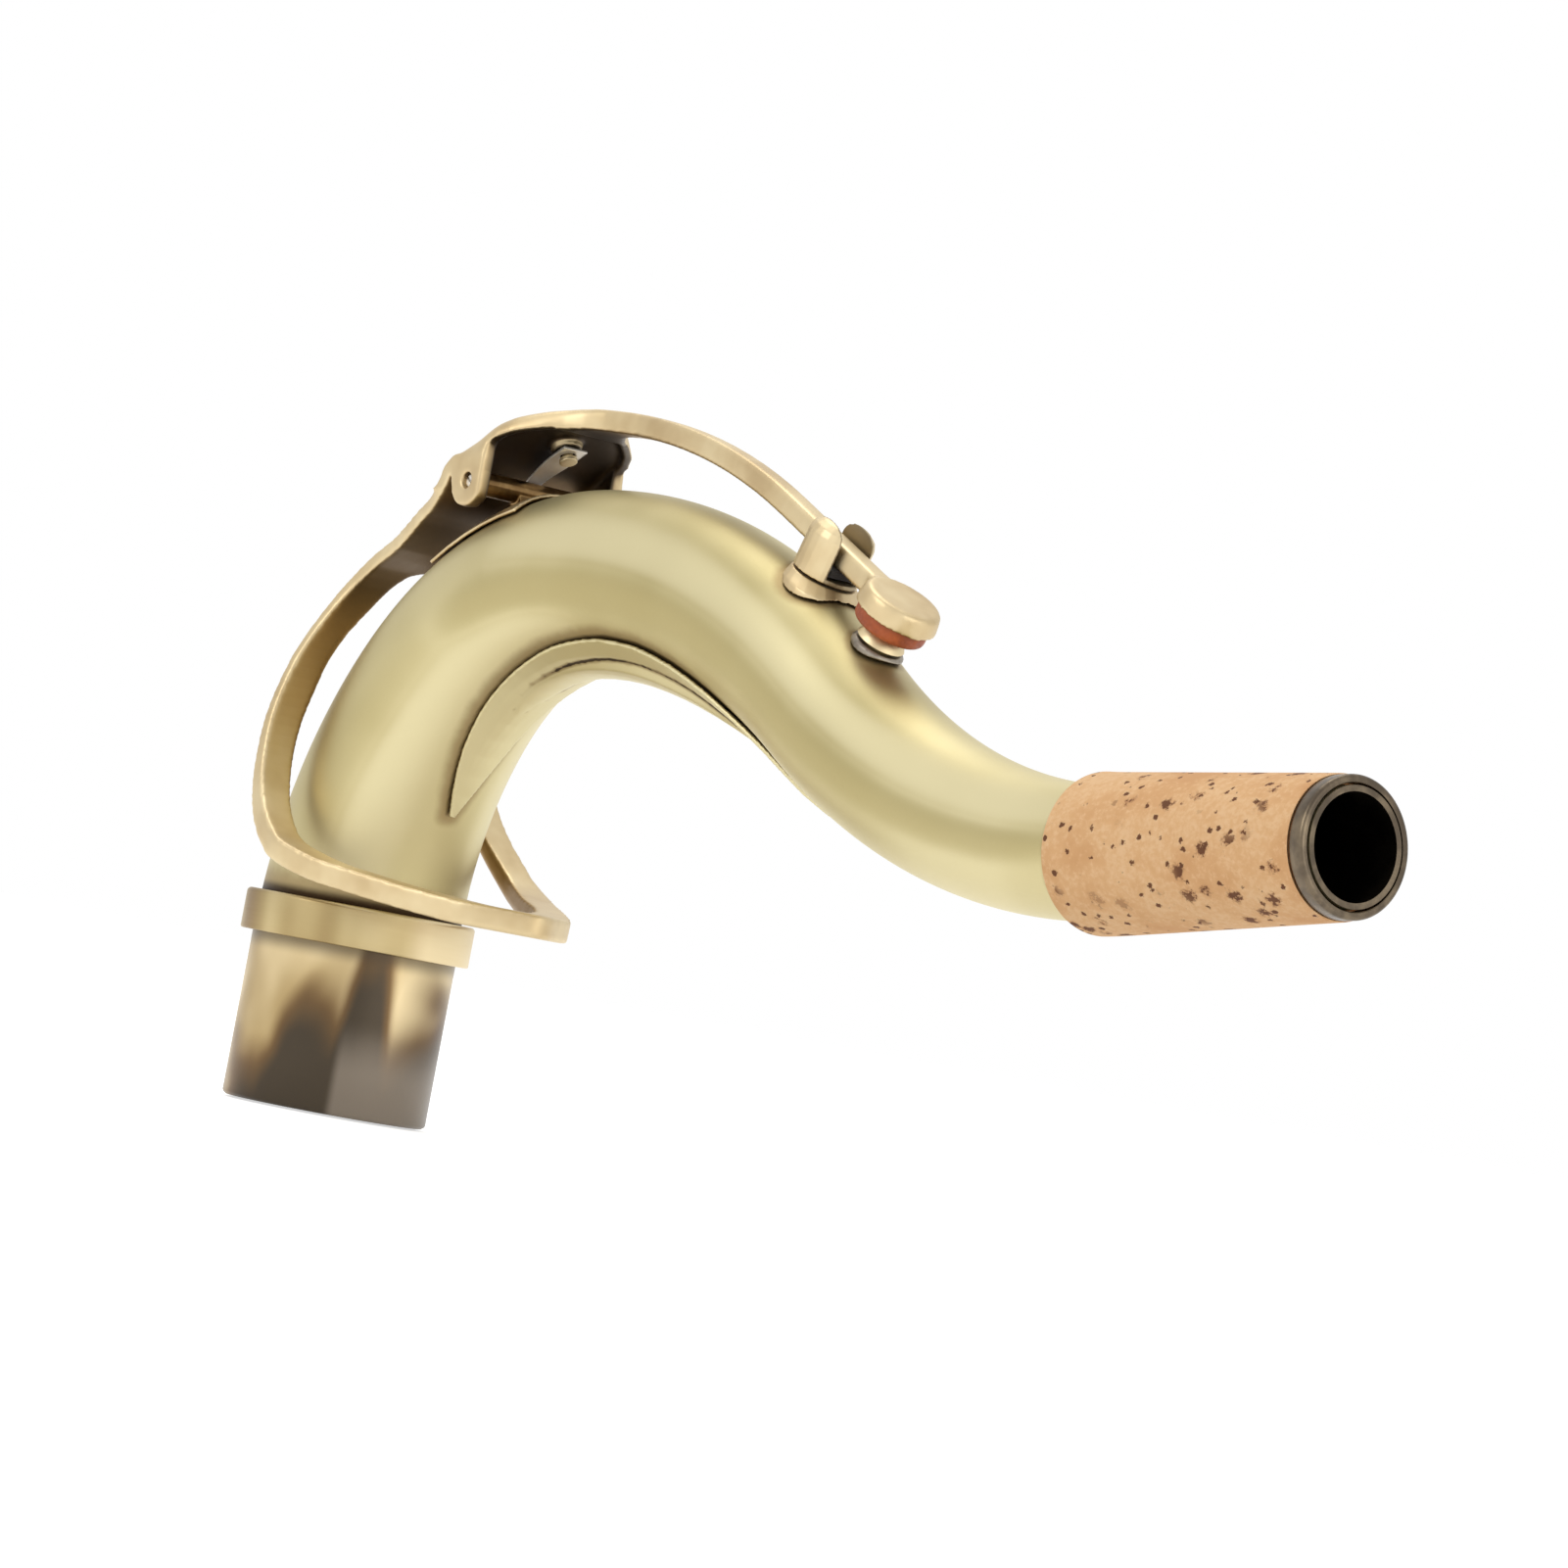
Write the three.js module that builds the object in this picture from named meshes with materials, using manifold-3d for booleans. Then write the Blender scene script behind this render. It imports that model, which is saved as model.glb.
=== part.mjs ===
import * as THREE from 'three';
import { mergeVertices } from 'three/addons/utils/BufferGeometryUtils.js';
import Module from 'manifold-3d';

const wasm = await Module();
wasm.setup();

// A saxophone neck: a tapered crook that rises from its tenon, turns over a crown
// and runs down to a corked mouth end, with its octave key hinged on the back.
// Millimetres. +Z runs up the tenon axis, +X points to the mouth end, and the
// origin is the centre of the collar's underside, where the neck seats.

// Tenon and collar
const tenonRadius = 13.75;
const tenonLength = 22.2;
const tenonWall = 0.9;
const tenonChamfer = 0.6;
const collarRadius = 15.45;
const collarHeight = 5.5;
const collarRound = 0.6;
const jointHeight = 2.5;

// Neck tube: its bends, one after the other from the tenon
const tubeBaseRadius = 13.64;
const tubeCorkRadius = 7.97;
const tubeMouthRadius = 6.95;
const tubeWall = 0.7;
const heelRun = 0.5;
const heelBendRadius = 54.5;
const heelTurnAngle = 37.05;
const crownBendRadius = 43.6;
const crownTurnAngle = 48.97;
const slopeBendRadius = 86.6;
const slopeTurnAngle = 35.1;
const mouthBendRadius = 95.8;
const mouthTurnAngle = 37.75;
const mouthRun = 39.35;

// Cork and end ring
const corkStart = 185.1;
const corkThickRadius = 9.6;
const corkThinRadius = 8.35;
const corkRound = 0.8;
const ringRadius = 8.2;
const ringLength = 2;
const ringRound = 0.6;

// Underslung brace: a leaf pressed with a raised rib
const braceStart = 22.9;
const braceEnd = 136;
const braceThickness = 0.6;
const braceHalfWidth = 8.2;
const braceTipHalfWidth = 0.4;
const ribStart = 47;
const ribEnd = 123.4;
const ribHeight = 1.3;
const ribPeakShare = 0.65;
const ribHalfWidth = 5.1;

// Hinge on the neck's back
const hingeStation = 58;
const hingeStand = 2.6;
const barrelRadius = 1.6;
const rodRadius = 0.95;
const barrelBoreRadius = 1.05;
const basePlateRear = 10.4;
const basePlateFront = 5.2;
const basePlateHalfWidth = 8.2;
const basePlateThickness = 0.5;
const footSpacing = 5;
const footWidth = 2.2;
const footLength = 2.4;

// Octave key: saddle with two ears, front arm, loop
const keyHalfWidth = 11.5;
const earThickness = 2;
const earReachBack = 4.4;
const earReachFront = 2.9;
const earDrop = 3.5;
const earFilletRadius = 3.5;
const earStartAngle = 215;
const earEndAngle = 330;
const earTopStartAngle = 104;
const earTopEndAngle = 130;
const saddleRun = 15.6;
const saddleRise = 11.95;
const saddleArcRadius = 25;
const saddleSweepAngle = 41;
const webThickness = 1.9;
const edgeRound = 0.6;
const shoulderRound = 3.2;
const shoulderDepth = 8;
const rimWidth = 1.8;
const rimDrop = 0.8;
const ledgeSweepAngle = 15;
const saddleFrontRun = 6;
const saddleSplitDrop = 1.6;
const saddleCornerRise = 3.35;
const flareStart = 1.6;
const armHalfWidth = 1.7;
const armThickness = 2.95;
const armRound = 0.5;
const armArcRadius = 100;
const armEndRun = 6.4;
const loopReach = 28.2;
const loopLift = 3.2;
const loopBack = 26.6;
const loopHalfWidth = 21.5;
const loopThickness = 3.1;
const loopChamferShare = 0.33;

// Pad cup, pad and octave pip
const pipStation = 128.7;
const pipHeight = 2.6;
const pipBottomRadius = 3.2;
const pipTopRadius = 2.5;
const pipFlangeRadius = 3.55;
const pipFlangeHeight = 0.75;
const pipStemRadius = 1.8;
const pipStemDepth = 4;
const pipBoreRadius = 0.9;
const padRadius = 4.75;
const padThickness = 2.7;
const cupWall = 0.65;
const cupLipDepth = 1;
const cupFlare = 0.4;
const cupTop = 1.7;
const cupRound = 0.5;

// Key guide: a foot, a slotted post round the arm and a felt in the slot
const guideStation = 114.4;
const guideRadius = 4.35;
const guideFootHeight = 0.7;
const guideFootFlare = 1.7;
const guideFootForward = 1.5;
const guideFootDepth = 3.4;
const guideFloor = 0.6;
const guideShoulder = 6.2;
const guideDome = 2.3;
const guideSideClearance = 0.7;
const feltHalfLength = 3.4;

// Flat spring and its screw
const springPadHalfWidth = 1.9;
const springHalfWidth = 1.2;
const springThickness = 0.4;
const springClearance = 0.35;
const springSeatRun = 12;
const springTipRun = 3.6;
const springTipGap = 0.6;
const springEndMargin = 1.9;
const bossRadius = 2.1;
const bossHeight = 1.2;
const screwHeadRadius = 1.2;
const screwHeadHeight = 0.6;
const screwShankRadius = 0.7;
const screwDepth = 1.5;

// Clearances: soldered and seated pieces, running parts, and cutters' overrun
const seatGap = 0.3;
const overrun = 5;

// Rounding steps
const tubeSides = 30;
const boreSides = 18;
const tubeSteps = 38;
const shortSteps = 5;
const domeSteps = 4;
const roundSides = 24;
const pinSides = 16;

const sideAxis = new THREE.Vector3(0, 1, 0);
const half = (value) => value / 2;
const vector = ([x, z]) => new THREE.Vector3(x, 0, z);

// Solids and geometries

function signedVolume(points, triangles) {
  let volume = 0;
  for (const [a, b, c] of triangles) {
    volume += points[a].dot(new THREE.Vector3().crossVectors(points[b], points[c]));
  }
  return volume;
}

function closedGeometry(points, triangles) {
  const inward = signedVolume(points, triangles) < 0;
  const geometry = new THREE.BufferGeometry().setFromPoints(points);
  geometry.setIndex(triangles.flatMap(([a, b, c]) => (inward ? [a, c, b] : [a, b, c])));
  return geometry;
}

function welded(geometry) {
  const bare = geometry.clone();
  bare.deleteAttribute('normal');
  bare.deleteAttribute('uv');
  return mergeVertices(bare);
}

function toSolid(shape) {
  if (!shape.isBufferGeometry) return shape;
  const merged = welded(shape);
  return new wasm.Manifold(new wasm.Mesh({
    numProp: 3,
    vertProperties: new Float32Array(merged.getAttribute('position').array),
    triVerts: new Uint32Array(merged.getIndex().array),
  }));
}

function toGeometry(solid) {
  const mesh = solid.getMesh();
  const geometry = new THREE.BufferGeometry();
  geometry.setAttribute('position', new THREE.BufferAttribute(mesh.vertProperties, mesh.numProp));
  geometry.setIndex(new THREE.BufferAttribute(mesh.triVerts, 1));
  geometry.computeVertexNormals();
  return geometry;
}

function join(...shapes) {
  return shapes.map(toSolid).reduce((sum, next) => sum.add(next));
}

function cut(body, ...cutters) {
  return cutters.map(toSolid).reduce((rest, next) => rest.subtract(next), toSolid(body));
}

function common(...shapes) {
  return shapes.map(toSolid).reduce((rest, next) => rest.intersect(next));
}

// A loft through sections: each has an origin, two axes and the same number of 2D points.
function loft(sections) {
  const count = sections[0].outline.length;
  const points = sections.flatMap(({ origin, u, v, outline }) => outline.map(
    ([x, y]) => origin.clone().addScaledVector(u, x).addScaledVector(v, y),
  ));
  const triangles = [];
  for (let i = 0; i + 1 < sections.length; i += 1) {
    for (let j = 0; j < count; j += 1) {
      const a = i * count + j;
      const b = i * count + ((j + 1) % count);
      triangles.push([a, b, b + count], [a, b + count, a + count]);
    }
  }
  const capOf = ({ outline }) => THREE.ShapeUtils.triangulateShape(
    outline.map(([x, y]) => new THREE.Vector2(x, y)),
    [],
  );
  const last = (sections.length - 1) * count;
  capOf(sections[0]).forEach(([a, b, c]) => triangles.push([a, c, b]));
  capOf(sections.at(-1)).forEach(([a, b, c]) => triangles.push([last + a, last + b, last + c]));
  return closedGeometry(points, triangles);
}

// A slab: an outline of [x, z] points, thick along Y from low to high.
function slab(outline, low, high) {
  const shape = new THREE.Shape(outline.map(([x, z]) => new THREE.Vector2(x, z)));
  const geometry = new THREE.ExtrudeGeometry(shape, { depth: high - low, bevelEnabled: false });
  geometry.rotateX(half(Math.PI));
  geometry.translate(0, high, 0);
  return geometry;
}

// A block of the given size, centred on a point.
function block([x, y, z], [cx, cy, cz]) {
  return new THREE.BoxGeometry(x, y, z).translate(cx, cy, cz);
}

// A turned piece on the Z axis from an outline of [radius, height] points.
function turned(outline, sides) {
  const profile = outline.map(([r, h]) => new THREE.Vector2(r, h));
  const closing = outline[0][0] > 0 ? [profile[0].clone()] : [];
  const geometry = welded(new THREE.LatheGeometry([...profile, ...closing], sides));
  geometry.rotateX(half(Math.PI));
  const position = geometry.getAttribute('position');
  const points = Array.from(
    { length: position.count },
    (_, i) => new THREE.Vector3().fromBufferAttribute(position, i),
  );
  const index = geometry.getIndex().array;
  const triangles = Array.from({ length: index.length / 3 }, (_, i) => [...index.slice(3 * i, 3 * i + 3)]);
  return closedGeometry(points, triangles.filter(([a, b, c]) => a !== b && b !== c && c !== a));
}

function rod(radius, from, to) {
  const geometry = new THREE.CylinderGeometry(radius, radius, from.distanceTo(to), pinSides);
  const turn = new THREE.Quaternion().setFromUnitVectors(sideAxis, to.clone().sub(from).normalize());
  const middle = from.clone().lerp(to, 0.5);
  return geometry.applyQuaternion(turn).translate(middle.x, middle.y, middle.z);
}

// A rod across the neck, centred on its middle plane.
function crossRod(radius, centre, reach) {
  return rod(radius, centre.clone().setY(-reach), centre.clone().setY(reach));
}

function circle(radius, sides) {
  return Array.from({ length: sides }, (_, i) => {
    const angle = (2 * Math.PI * i) / sides;
    return [radius * Math.cos(angle), radius * Math.sin(angle)];
  });
}

// Points of an arc about a centre, from one angle to another, in degrees.
function arc([cx, cz], radius, from, to, steps) {
  return Array.from({ length: steps + 1 }, (_, i) => {
    const angle = THREE.MathUtils.degToRad(from + ((to - from) * i) / steps);
    return [cx + radius * Math.cos(angle), cz + radius * Math.sin(angle)];
  });
}

function smooth(points, steps) {
  const curve = new THREE.SplineCurve(points.map(([x, y]) => new THREE.Vector2(x, y)));
  return curve.getPoints(steps).map((p) => [p.x, p.y]);
}

// The same line of [x, z] points, moved to its left by a distance.
function offsetLine(line, distance) {
  return line.map(([x, z], i) => {
    const [ax, az] = line[Math.max(i - 1, 0)];
    const [bx, bz] = line[Math.min(i + 1, line.length - 1)];
    const length = Math.hypot(bx - ax, bz - az);
    return [x - (distance * (bz - az)) / length, z + (distance * (bx - ax)) / length];
  });
}

function strip(line, thickness, low, high) {
  return slab([...line, ...offsetLine(line, thickness).reverse()], low, high);
}

// The value of a table of [share, value] rows at a share, on straight lines between rows.
function shareAt(table, share) {
  const next = Math.max(table.findIndex(([at]) => at >= share), 1);
  const [a, low] = table[next - 1];
  const [b, high] = table[next];
  return THREE.MathUtils.mapLinear(share, a, b, low, high);
}

// The neck's centreline

const bends = [
  { run: heelRun },
  { radius: heelBendRadius, turn: -heelTurnAngle },
  { radius: crownBendRadius, turn: -crownTurnAngle },
  { radius: slopeBendRadius, turn: -slopeTurnAngle },
  { radius: mouthBendRadius, turn: mouthTurnAngle },
  { run: mouthRun },
];

function bendLength({ run, radius, turn }) {
  return run ?? radius * THREE.MathUtils.degToRad(Math.abs(turn));
}

const neckLength = bends.reduce((sum, bend) => sum + bendLength(bend), 0);

function tubeRadiusAt(s) {
  const rear = THREE.MathUtils.mapLinear(s, 0, corkStart, tubeBaseRadius, tubeCorkRadius);
  const front = THREE.MathUtils.mapLinear(s, corkStart, neckLength, tubeCorkRadius, tubeMouthRadius);
  return s < corkStart ? rear : front;
}

// The centreline at a length s along it: its point, its direction, and the direction away
// from the bend's inside. Both ends run on straight.
function station(s) {
  const point = new THREE.Vector3(0, 0, jointHeight);
  let heading = half(Math.PI);
  let left = s;
  bends.forEach((bend, i) => {
    const step = i === bends.length - 1 ? left : Math.min(left, bendLength(bend));
    if (bend.run !== undefined) {
      point.x += step * Math.cos(heading);
      point.z += step * Math.sin(heading);
    } else {
      const signed = Math.sign(bend.turn) * bend.radius;
      const end = heading + step / signed;
      point.x += signed * (Math.sin(end) - Math.sin(heading));
      point.z += signed * (Math.cos(heading) - Math.cos(end));
      heading = end;
    }
    left = Math.max(left - step, 0);
  });
  return {
    point,
    along: new THREE.Vector3(Math.cos(heading), 0, Math.sin(heading)),
    away: new THREE.Vector3(-Math.sin(heading), 0, Math.cos(heading)),
    radius: tubeRadiusAt(s),
  };
}

// A round solid along the centreline through [length, radius] rows.
function roundSolid(rows, sides) {
  return loft(rows.map(([s, radius]) => {
    const { point, away } = station(s);
    return { origin: point, u: away, v: sideAxis, outline: circle(radius, sides) };
  }));
}

// The same with the tube's own radius, made wider by a reach.
function tubeSolid(from, to, reach, steps, sides) {
  return roundSolid(Array.from({ length: steps + 1 }, (_, i) => {
    const s = from + ((to - from) * i) / steps;
    return [s, tubeRadiusAt(s) + reach];
  }), sides);
}

// What a piece on the tube near a length s is cut with, to stand clear of it.
function groundAt(s, reach) {
  return tubeSolid(s - 2 * overrun, s + 2 * overrun, reach, shortSteps, 2 * tubeSides);
}

// A patch on the tube between two lengths, on its outside (1) or its inside (-1).
function tubePatch({ from, to, steps, side, halfWidth, bottom, top, across }) {
  const places = Array.from({ length: across + 1 }, (_, i) => (2 * i) / across - 1);
  return loft(Array.from({ length: steps + 1 }, (_, i) => {
    const share = i / steps;
    const { point, away, radius } = station(from + (to - from) * share);
    const spread = halfWidth(share) / radius;
    const at = (reach, place) => [
      side * reach * Math.cos(place * spread),
      -side * reach * Math.sin(place * spread),
    ];
    const inner = places.map((place) => at(radius + bottom, place));
    const outer = places.map((place) => at(radius + top(share, place), place));
    return { origin: point, u: away, v: sideAxis, outline: [...inner, ...outer.reverse()] };
  }));
}

// A frame that stands on the tube's outside at a length s, with its origin on the surface.
function standing(s) {
  const { point, along, away, radius } = station(s);
  return { origin: point.addScaledVector(away, radius), along, away, radius };
}

function placeOn({ origin, along, away }, geometry) {
  const basis = new THREE.Matrix4().makeBasis(along, new THREE.Vector3().crossVectors(away, along), away);
  return geometry.applyMatrix4(basis.setPosition(origin));
}

// Tenon and collar

function tenonSleeve() {
  const inner = tenonRadius - tenonWall;
  return turned([
    [inner, -tenonLength],
    [tenonRadius - tenonChamfer, -tenonLength],
    [tenonRadius, -tenonLength + tenonChamfer],
    [tenonRadius, jointHeight],
    [inner, jointHeight],
  ], 2 * roundSides);
}

function tenonCollar() {
  const inner = Math.max(tenonRadius, tubeBaseRadius) + seatGap;
  const corner = [collarRadius - collarRound, collarHeight - collarRound];
  return turned([
    [inner, 0],
    [collarRadius, 0],
    ...arc(corner, collarRound, 0, 90, 3),
    [inner, collarHeight],
  ], 2 * roundSides);
}

// Neck tube, with its bore and the hole of the octave pip

const pipFrame = standing(pipStation);

function neckTube() {
  const outside = tubeSolid(0, neckLength, 0, tubeSteps, tubeSides);
  const bore = tubeSolid(-overrun, neckLength + overrun, -tubeWall, tubeSteps, boreSides);
  const hole = placeOn(pipFrame, turned([
    [0, -half(pipFrame.radius)],
    [pipStemRadius + seatGap, -half(pipFrame.radius)],
    [pipStemRadius + seatGap, overrun],
    [0, overrun],
  ], pinSides));
  return cut(outside, bore, hole);
}

// Cork sleeve and end ring

function neckCork() {
  const corkEnd = neckLength - ringLength - seatGap;
  const edge = arc([corkStart + corkRound, corkThickRadius - corkRound], corkRound, 180, 90, 3);
  const sleeve = roundSolid([...edge, [corkEnd, corkThinRadius]], roundSides);
  return cut(sleeve, tubeSolid(corkStart - overrun, corkEnd + overrun, seatGap, shortSteps, roundSides));
}

function endRing() {
  const sleeve = tubeMouthRadius + seatGap;
  const ring = turned([
    [sleeve, -ringLength],
    [ringRadius, -ringLength],
    ...arc([ringRadius - ringRound, -ringRound], ringRound, 0, 90, 3),
    [sleeve, 0],
  ], roundSides);
  const { point, along, away } = station(neckLength);
  return placeOn({ origin: point, along: away, away: along }, ring);
}

// Underslung brace: half widths as shares, from the tenon's end to the mouth's

const braceWidthShares = [
  [0, 0], [0.044, 0.2], [0.11, 0.37], [0.2, 0.52], [0.355, 0.7], [0.444, 0.84], [0.533, 0.98],
  [0.622, 1], [0.7, 0.9], [0.777, 0.74], [0.84, 0.52], [0.912, 0.32], [0.965, 0.2], [1, 0],
];
const ribWidthShares = [
  [0, 0.03], [0.1, 0.38], [0.24, 0.5], [0.36, 0.68], [0.45, 0.87], [0.55, 1],
  [0.66, 1], [0.76, 0.9], [0.86, 0.72], [0.95, 0.35], [1, 0.03],
];

function underslungBrace() {
  const plateTop = seatGap + braceThickness;
  const plate = tubePatch({
    from: braceStart,
    to: braceEnd,
    steps: 26,
    side: -1,
    halfWidth: (share) => Math.max(braceHalfWidth * shareAt(braceWidthShares, share), braceTipHalfWidth),
    bottom: seatGap,
    top: () => plateTop,
    across: 6,
  });
  const lean = Math.log(0.5) / Math.log(ribPeakShare);
  const rise = (share) => ribHeight * Math.sin(Math.PI * share ** lean);
  const rib = tubePatch({
    from: ribStart,
    to: ribEnd,
    steps: 16,
    side: -1,
    halfWidth: (share) => ribHalfWidth * shareAt(ribWidthShares, share),
    bottom: seatGap + half(braceThickness),
    top: (share, place) => plateTop + rise(share) * Math.sqrt(1 - place ** 4),
    across: 8,
  });
  return join(plate, rib);
}

// Hinge: base plate, barrel on two feet, rod

const hingeFrame = standing(hingeStation);
const hinge = hingeFrame.origin.clone().addScaledVector(hingeFrame.away, hingeStand);
const earInner = keyHalfWidth - earThickness;
const basePlateTop = seatGap + basePlateThickness;

function pivotBasePlate() {
  return tubePatch({
    from: hingeStation - basePlateRear,
    to: hingeStation + basePlateFront,
    steps: shortSteps,
    side: 1,
    halfWidth: () => hingeFrame.radius * Math.asin(basePlateHalfWidth / hingeFrame.radius),
    bottom: seatGap,
    top: () => basePlateTop,
    across: 12,
  });
}

function pivotBarrel() {
  const tall = hingeFrame.radius;
  const feet = [-1, 1].map((side) => placeOn(hingeFrame, block(
    [footLength, footWidth, tall],
    [0, side * half(footSpacing), hingeStand - half(tall)],
  )));
  const barrel = join(crossRod(barrelRadius, hinge, earInner - seatGap), ...feet);
  const bore = crossRod(barrelBoreRadius, hinge, keyHalfWidth);
  return cut(barrel, groundAt(hingeStation, basePlateTop + seatGap), bore);
}

function pivotRod() {
  return crossRod(rodRadius, hinge, keyHalfWidth - half(earThickness) + seatGap);
}

// Octave key. It is one strap bent round the neck: its underside runs from the loop's tip in
// front of the tenon, back and up behind the neck, and over the saddle to the crest.

const loopTip = [tubeBaseRadius + loopReach, collarHeight + loopLift];
const crest = [hinge.x + saddleRun, hinge.z + saddleRise];
const saddleCentre = [crest[0], crest[1] - saddleArcRadius];
const crestAngle = 90;

// Rows of the strap in shares: where it is from the key's back to the loop's tip, how high
// from the tip to the crest, its outer and its inner edge in loop half widths, and its
// thickness in the loop's.
const strapShares = [
  [1, 0, 0, 0, 1], [0.994, 0, 0.056, 0, 1], [0.977, 0, 0.118, 0, 1], [0.95, 0, 0.19, 0, 1],
  [0.916, 0, 0.282, 0, 1], [0.869, 0, 0.395, 0, 1], [0.824, 0.001, 0.475, 0.1, 1],
  [0.778, 0.004, 0.539, 0.22, 1], [0.712, 0.008, 0.628, 0.353, 1], [0.607, 0.016, 0.746, 0.5, 1],
  [0.513, 0.024, 0.842, 0.59, 1], [0.435, 0.031, 0.921, 0.66, 1], [0.32, 0.051, 0.997, 0.753, 1],
  [0.266, 0.068, 1, 0.78, 1], [0.21, 0.096, 0.99, 0.77, 0.97], [0.151, 0.132, 0.963, 0.74, 0.9],
  [0.098, 0.177, 0.923, 0.695, 0.8], [0.057, 0.234, 0.879, 0.65, 0.7], [0.028, 0.296, 0.833, 0.595, 0.62],
  [0.01, 0.361, 0.767, 0.52, 0.57], [0, 0.428, 0.684, 0.445, 0.55], [0.001, 0.49, 0.586, 0.345, 0.55],
  [0.015, 0.546, 0.493, 0.235, 0.57], [0.045, 0.591, 0.426, 0.165, 0.6], [0.091, 0.626, 0.393, 0.1, 0.64],
  [0.122, 0.64, 0.391, 0, 0.66], [0.216, 0.673, 0.412, 0, 0.66], [0.338, 0.731, 0.458, 0, 0.63],
  [0.386, 0.75, 0.477, 0, 0.62], [0.425, 0.766, 0.505, 0, 0.615], [0.4555, 0.782, 0.528, 0, 0.61],
  [0.475, 0.7985, 0.534, 0, 0.61], [0.485, 0.815, 0.535, 0, 0.61], [0.488, 0.826, 0.535, 0, 0.61],
  [0.4945, 0.833, 0.535, 0, 0.61], [0.521, 0.847, 0.535, 0, 0.61],
];

function strapRows() {
  const back = hinge.x - loopBack;
  const loop = strapShares.map(([x, z, outer, inner, thickness]) => ({
    x: THREE.MathUtils.lerp(back, loopTip[0], x),
    z: THREE.MathUtils.lerp(loopTip[1], crest[1], z),
    outer: outer * loopHalfWidth,
    inner: inner * loopHalfWidth,
    thickness: thickness * loopThickness,
  }));
  const underside = saddleArcRadius - webThickness;
  const saddle = arc(saddleCentre, underside, crestAngle + saddleSweepAngle, crestAngle, 8);
  return [...loop, ...saddle.map(([x, z]) => ({
    x, z, outer: keyHalfWidth, inner: 0, thickness: webThickness,
  }))];
}

// The strap as stations along its underside: the point, the way out of it, and its section.
function strapStations() {
  const rows = strapRows();
  const spline = (pick) => new THREE.SplineCurve(rows.map((row) => new THREE.Vector2(...pick(row))));
  const path = spline(({ x, z }) => [x, z]);
  const edges = spline(({ outer, inner }) => [outer, inner]);
  const depths = spline(({ x, thickness }) => [x, thickness]);
  const steps = 2 * (rows.length - 1);
  return Array.from({ length: steps + 1 }, (_, i) => {
    const share = i / steps;
    const tangent = path.getTangent(share);
    const edge = edges.getPoint(share);
    return {
      point: path.getPoint(share).toArray(),
      out: new THREE.Vector3(-tangent.y, 0, tangent.x),
      outer: Math.max(edge.x, 0),
      inner: Math.max(edge.y, 0),
      thickness: depths.getPoint(share).y,
    };
  });
}

const strap = strapStations();
const splitHeight = hinge.z - saddleSplitDrop;
const cornerHeight = splitHeight + saddleCornerRise;
const keyReach = 2 * neckLength;

function strapSide(side) {
  return loft(strap.filter(({ outer }) => outer > 0).map(({ point, out, outer, inner, thickness }) => {
    const near = inner > 0 ? inner : -half(seatGap);
    const chamfer = Math.min(loopChamferShare * thickness, inner + half(half(seatGap)));
    return {
      origin: vector(point),
      u: sideAxis.clone().multiplyScalar(side),
      v: out,
      outline: [
        [near, 0],
        [outer, 0],
        [outer, thickness],
        [near + chamfer, thickness],
        [near, thickness - chamfer],
      ],
    };
  }));
}

function keyLoop() {
  const below = block([keyReach, keyReach, keyReach], [0, 0, splitHeight - half(keyReach)]);
  return common(join(strapSide(-1), strapSide(1)), below);
}

// The cup's top centre, and the arm's top line: an arc over the crest and on to the cup

const padBottom = pipHeight + seatGap;
const padTop = padBottom + padThickness;
const cupInnerTop = padTop + seatGap;
const cupHeight = cupInnerTop + cupTop;
const cupCentre = pipFrame.origin.clone().addScaledVector(pipFrame.away, cupHeight);
const armStart = crest[0] + saddleFrontRun;
const armEnd = cupCentre.x - armEndRun;

function armTopLine() {
  const centre = [crest[0], crest[1] - armArcRadius];
  const across = [cupCentre.x - centre[0], cupCentre.z - centre[1]];
  const bearing = Math.atan2(across[0], across[1]) - Math.acos(armArcRadius / Math.hypot(...across));
  const bend = arc(centre, armArcRadius, crestAngle, crestAngle - THREE.MathUtils.radToDeg(bearing), 12);
  return [...bend, [cupCentre.x, cupCentre.z]];
}

function between(low, high, shape) {
  return common(shape, block([high - low, keyReach, keyReach], [half(low + high), 0, 0]));
}

// A section with a flat bottom and rounded upper edges.
function archOutline(halfWidth, bottom, top, round) {
  const corner = arc([halfWidth - round, top - round], round, 0, 90, 3);
  const right = [[halfWidth, bottom], ...corner];
  return [...right, ...right.map(([x, y]) => [-x, y]).reverse()];
}

function armBar() {
  const line = armTopLine();
  const under = offsetLine(line, -armThickness);
  return loft(line.map((point, i) => {
    const out = vector(point).sub(vector(under[i])).normalize();
    return {
      origin: vector(under[i]),
      u: sideAxis,
      v: out,
      outline: archOutline(armHalfWidth, 0, armThickness, armRound),
    };
  }));
}

function keyFrontArm() {
  return between(armStart, armEnd, armBar());
}

// Saddle: the strap's top between the ears, which narrows to the arm, with the ears and the
// spring's boss

const saddleWidthShares = [
  [0, 1], [0.1, 0.97], [0.2, 0.85], [0.25, 0.745], [0.35, 0.54], [0.44, 0.337],
  [0.55, 0.184], [0.72, 0.05], [1, 0],
];

function saddleHalfWidth(x) {
  const from = hinge.x + flareStart;
  const share = THREE.MathUtils.clamp((x - from) / (armStart - from), 0, 1);
  return THREE.MathUtils.lerp(armHalfWidth, keyHalfWidth, shareAt(saddleWidthShares, share));
}

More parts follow.
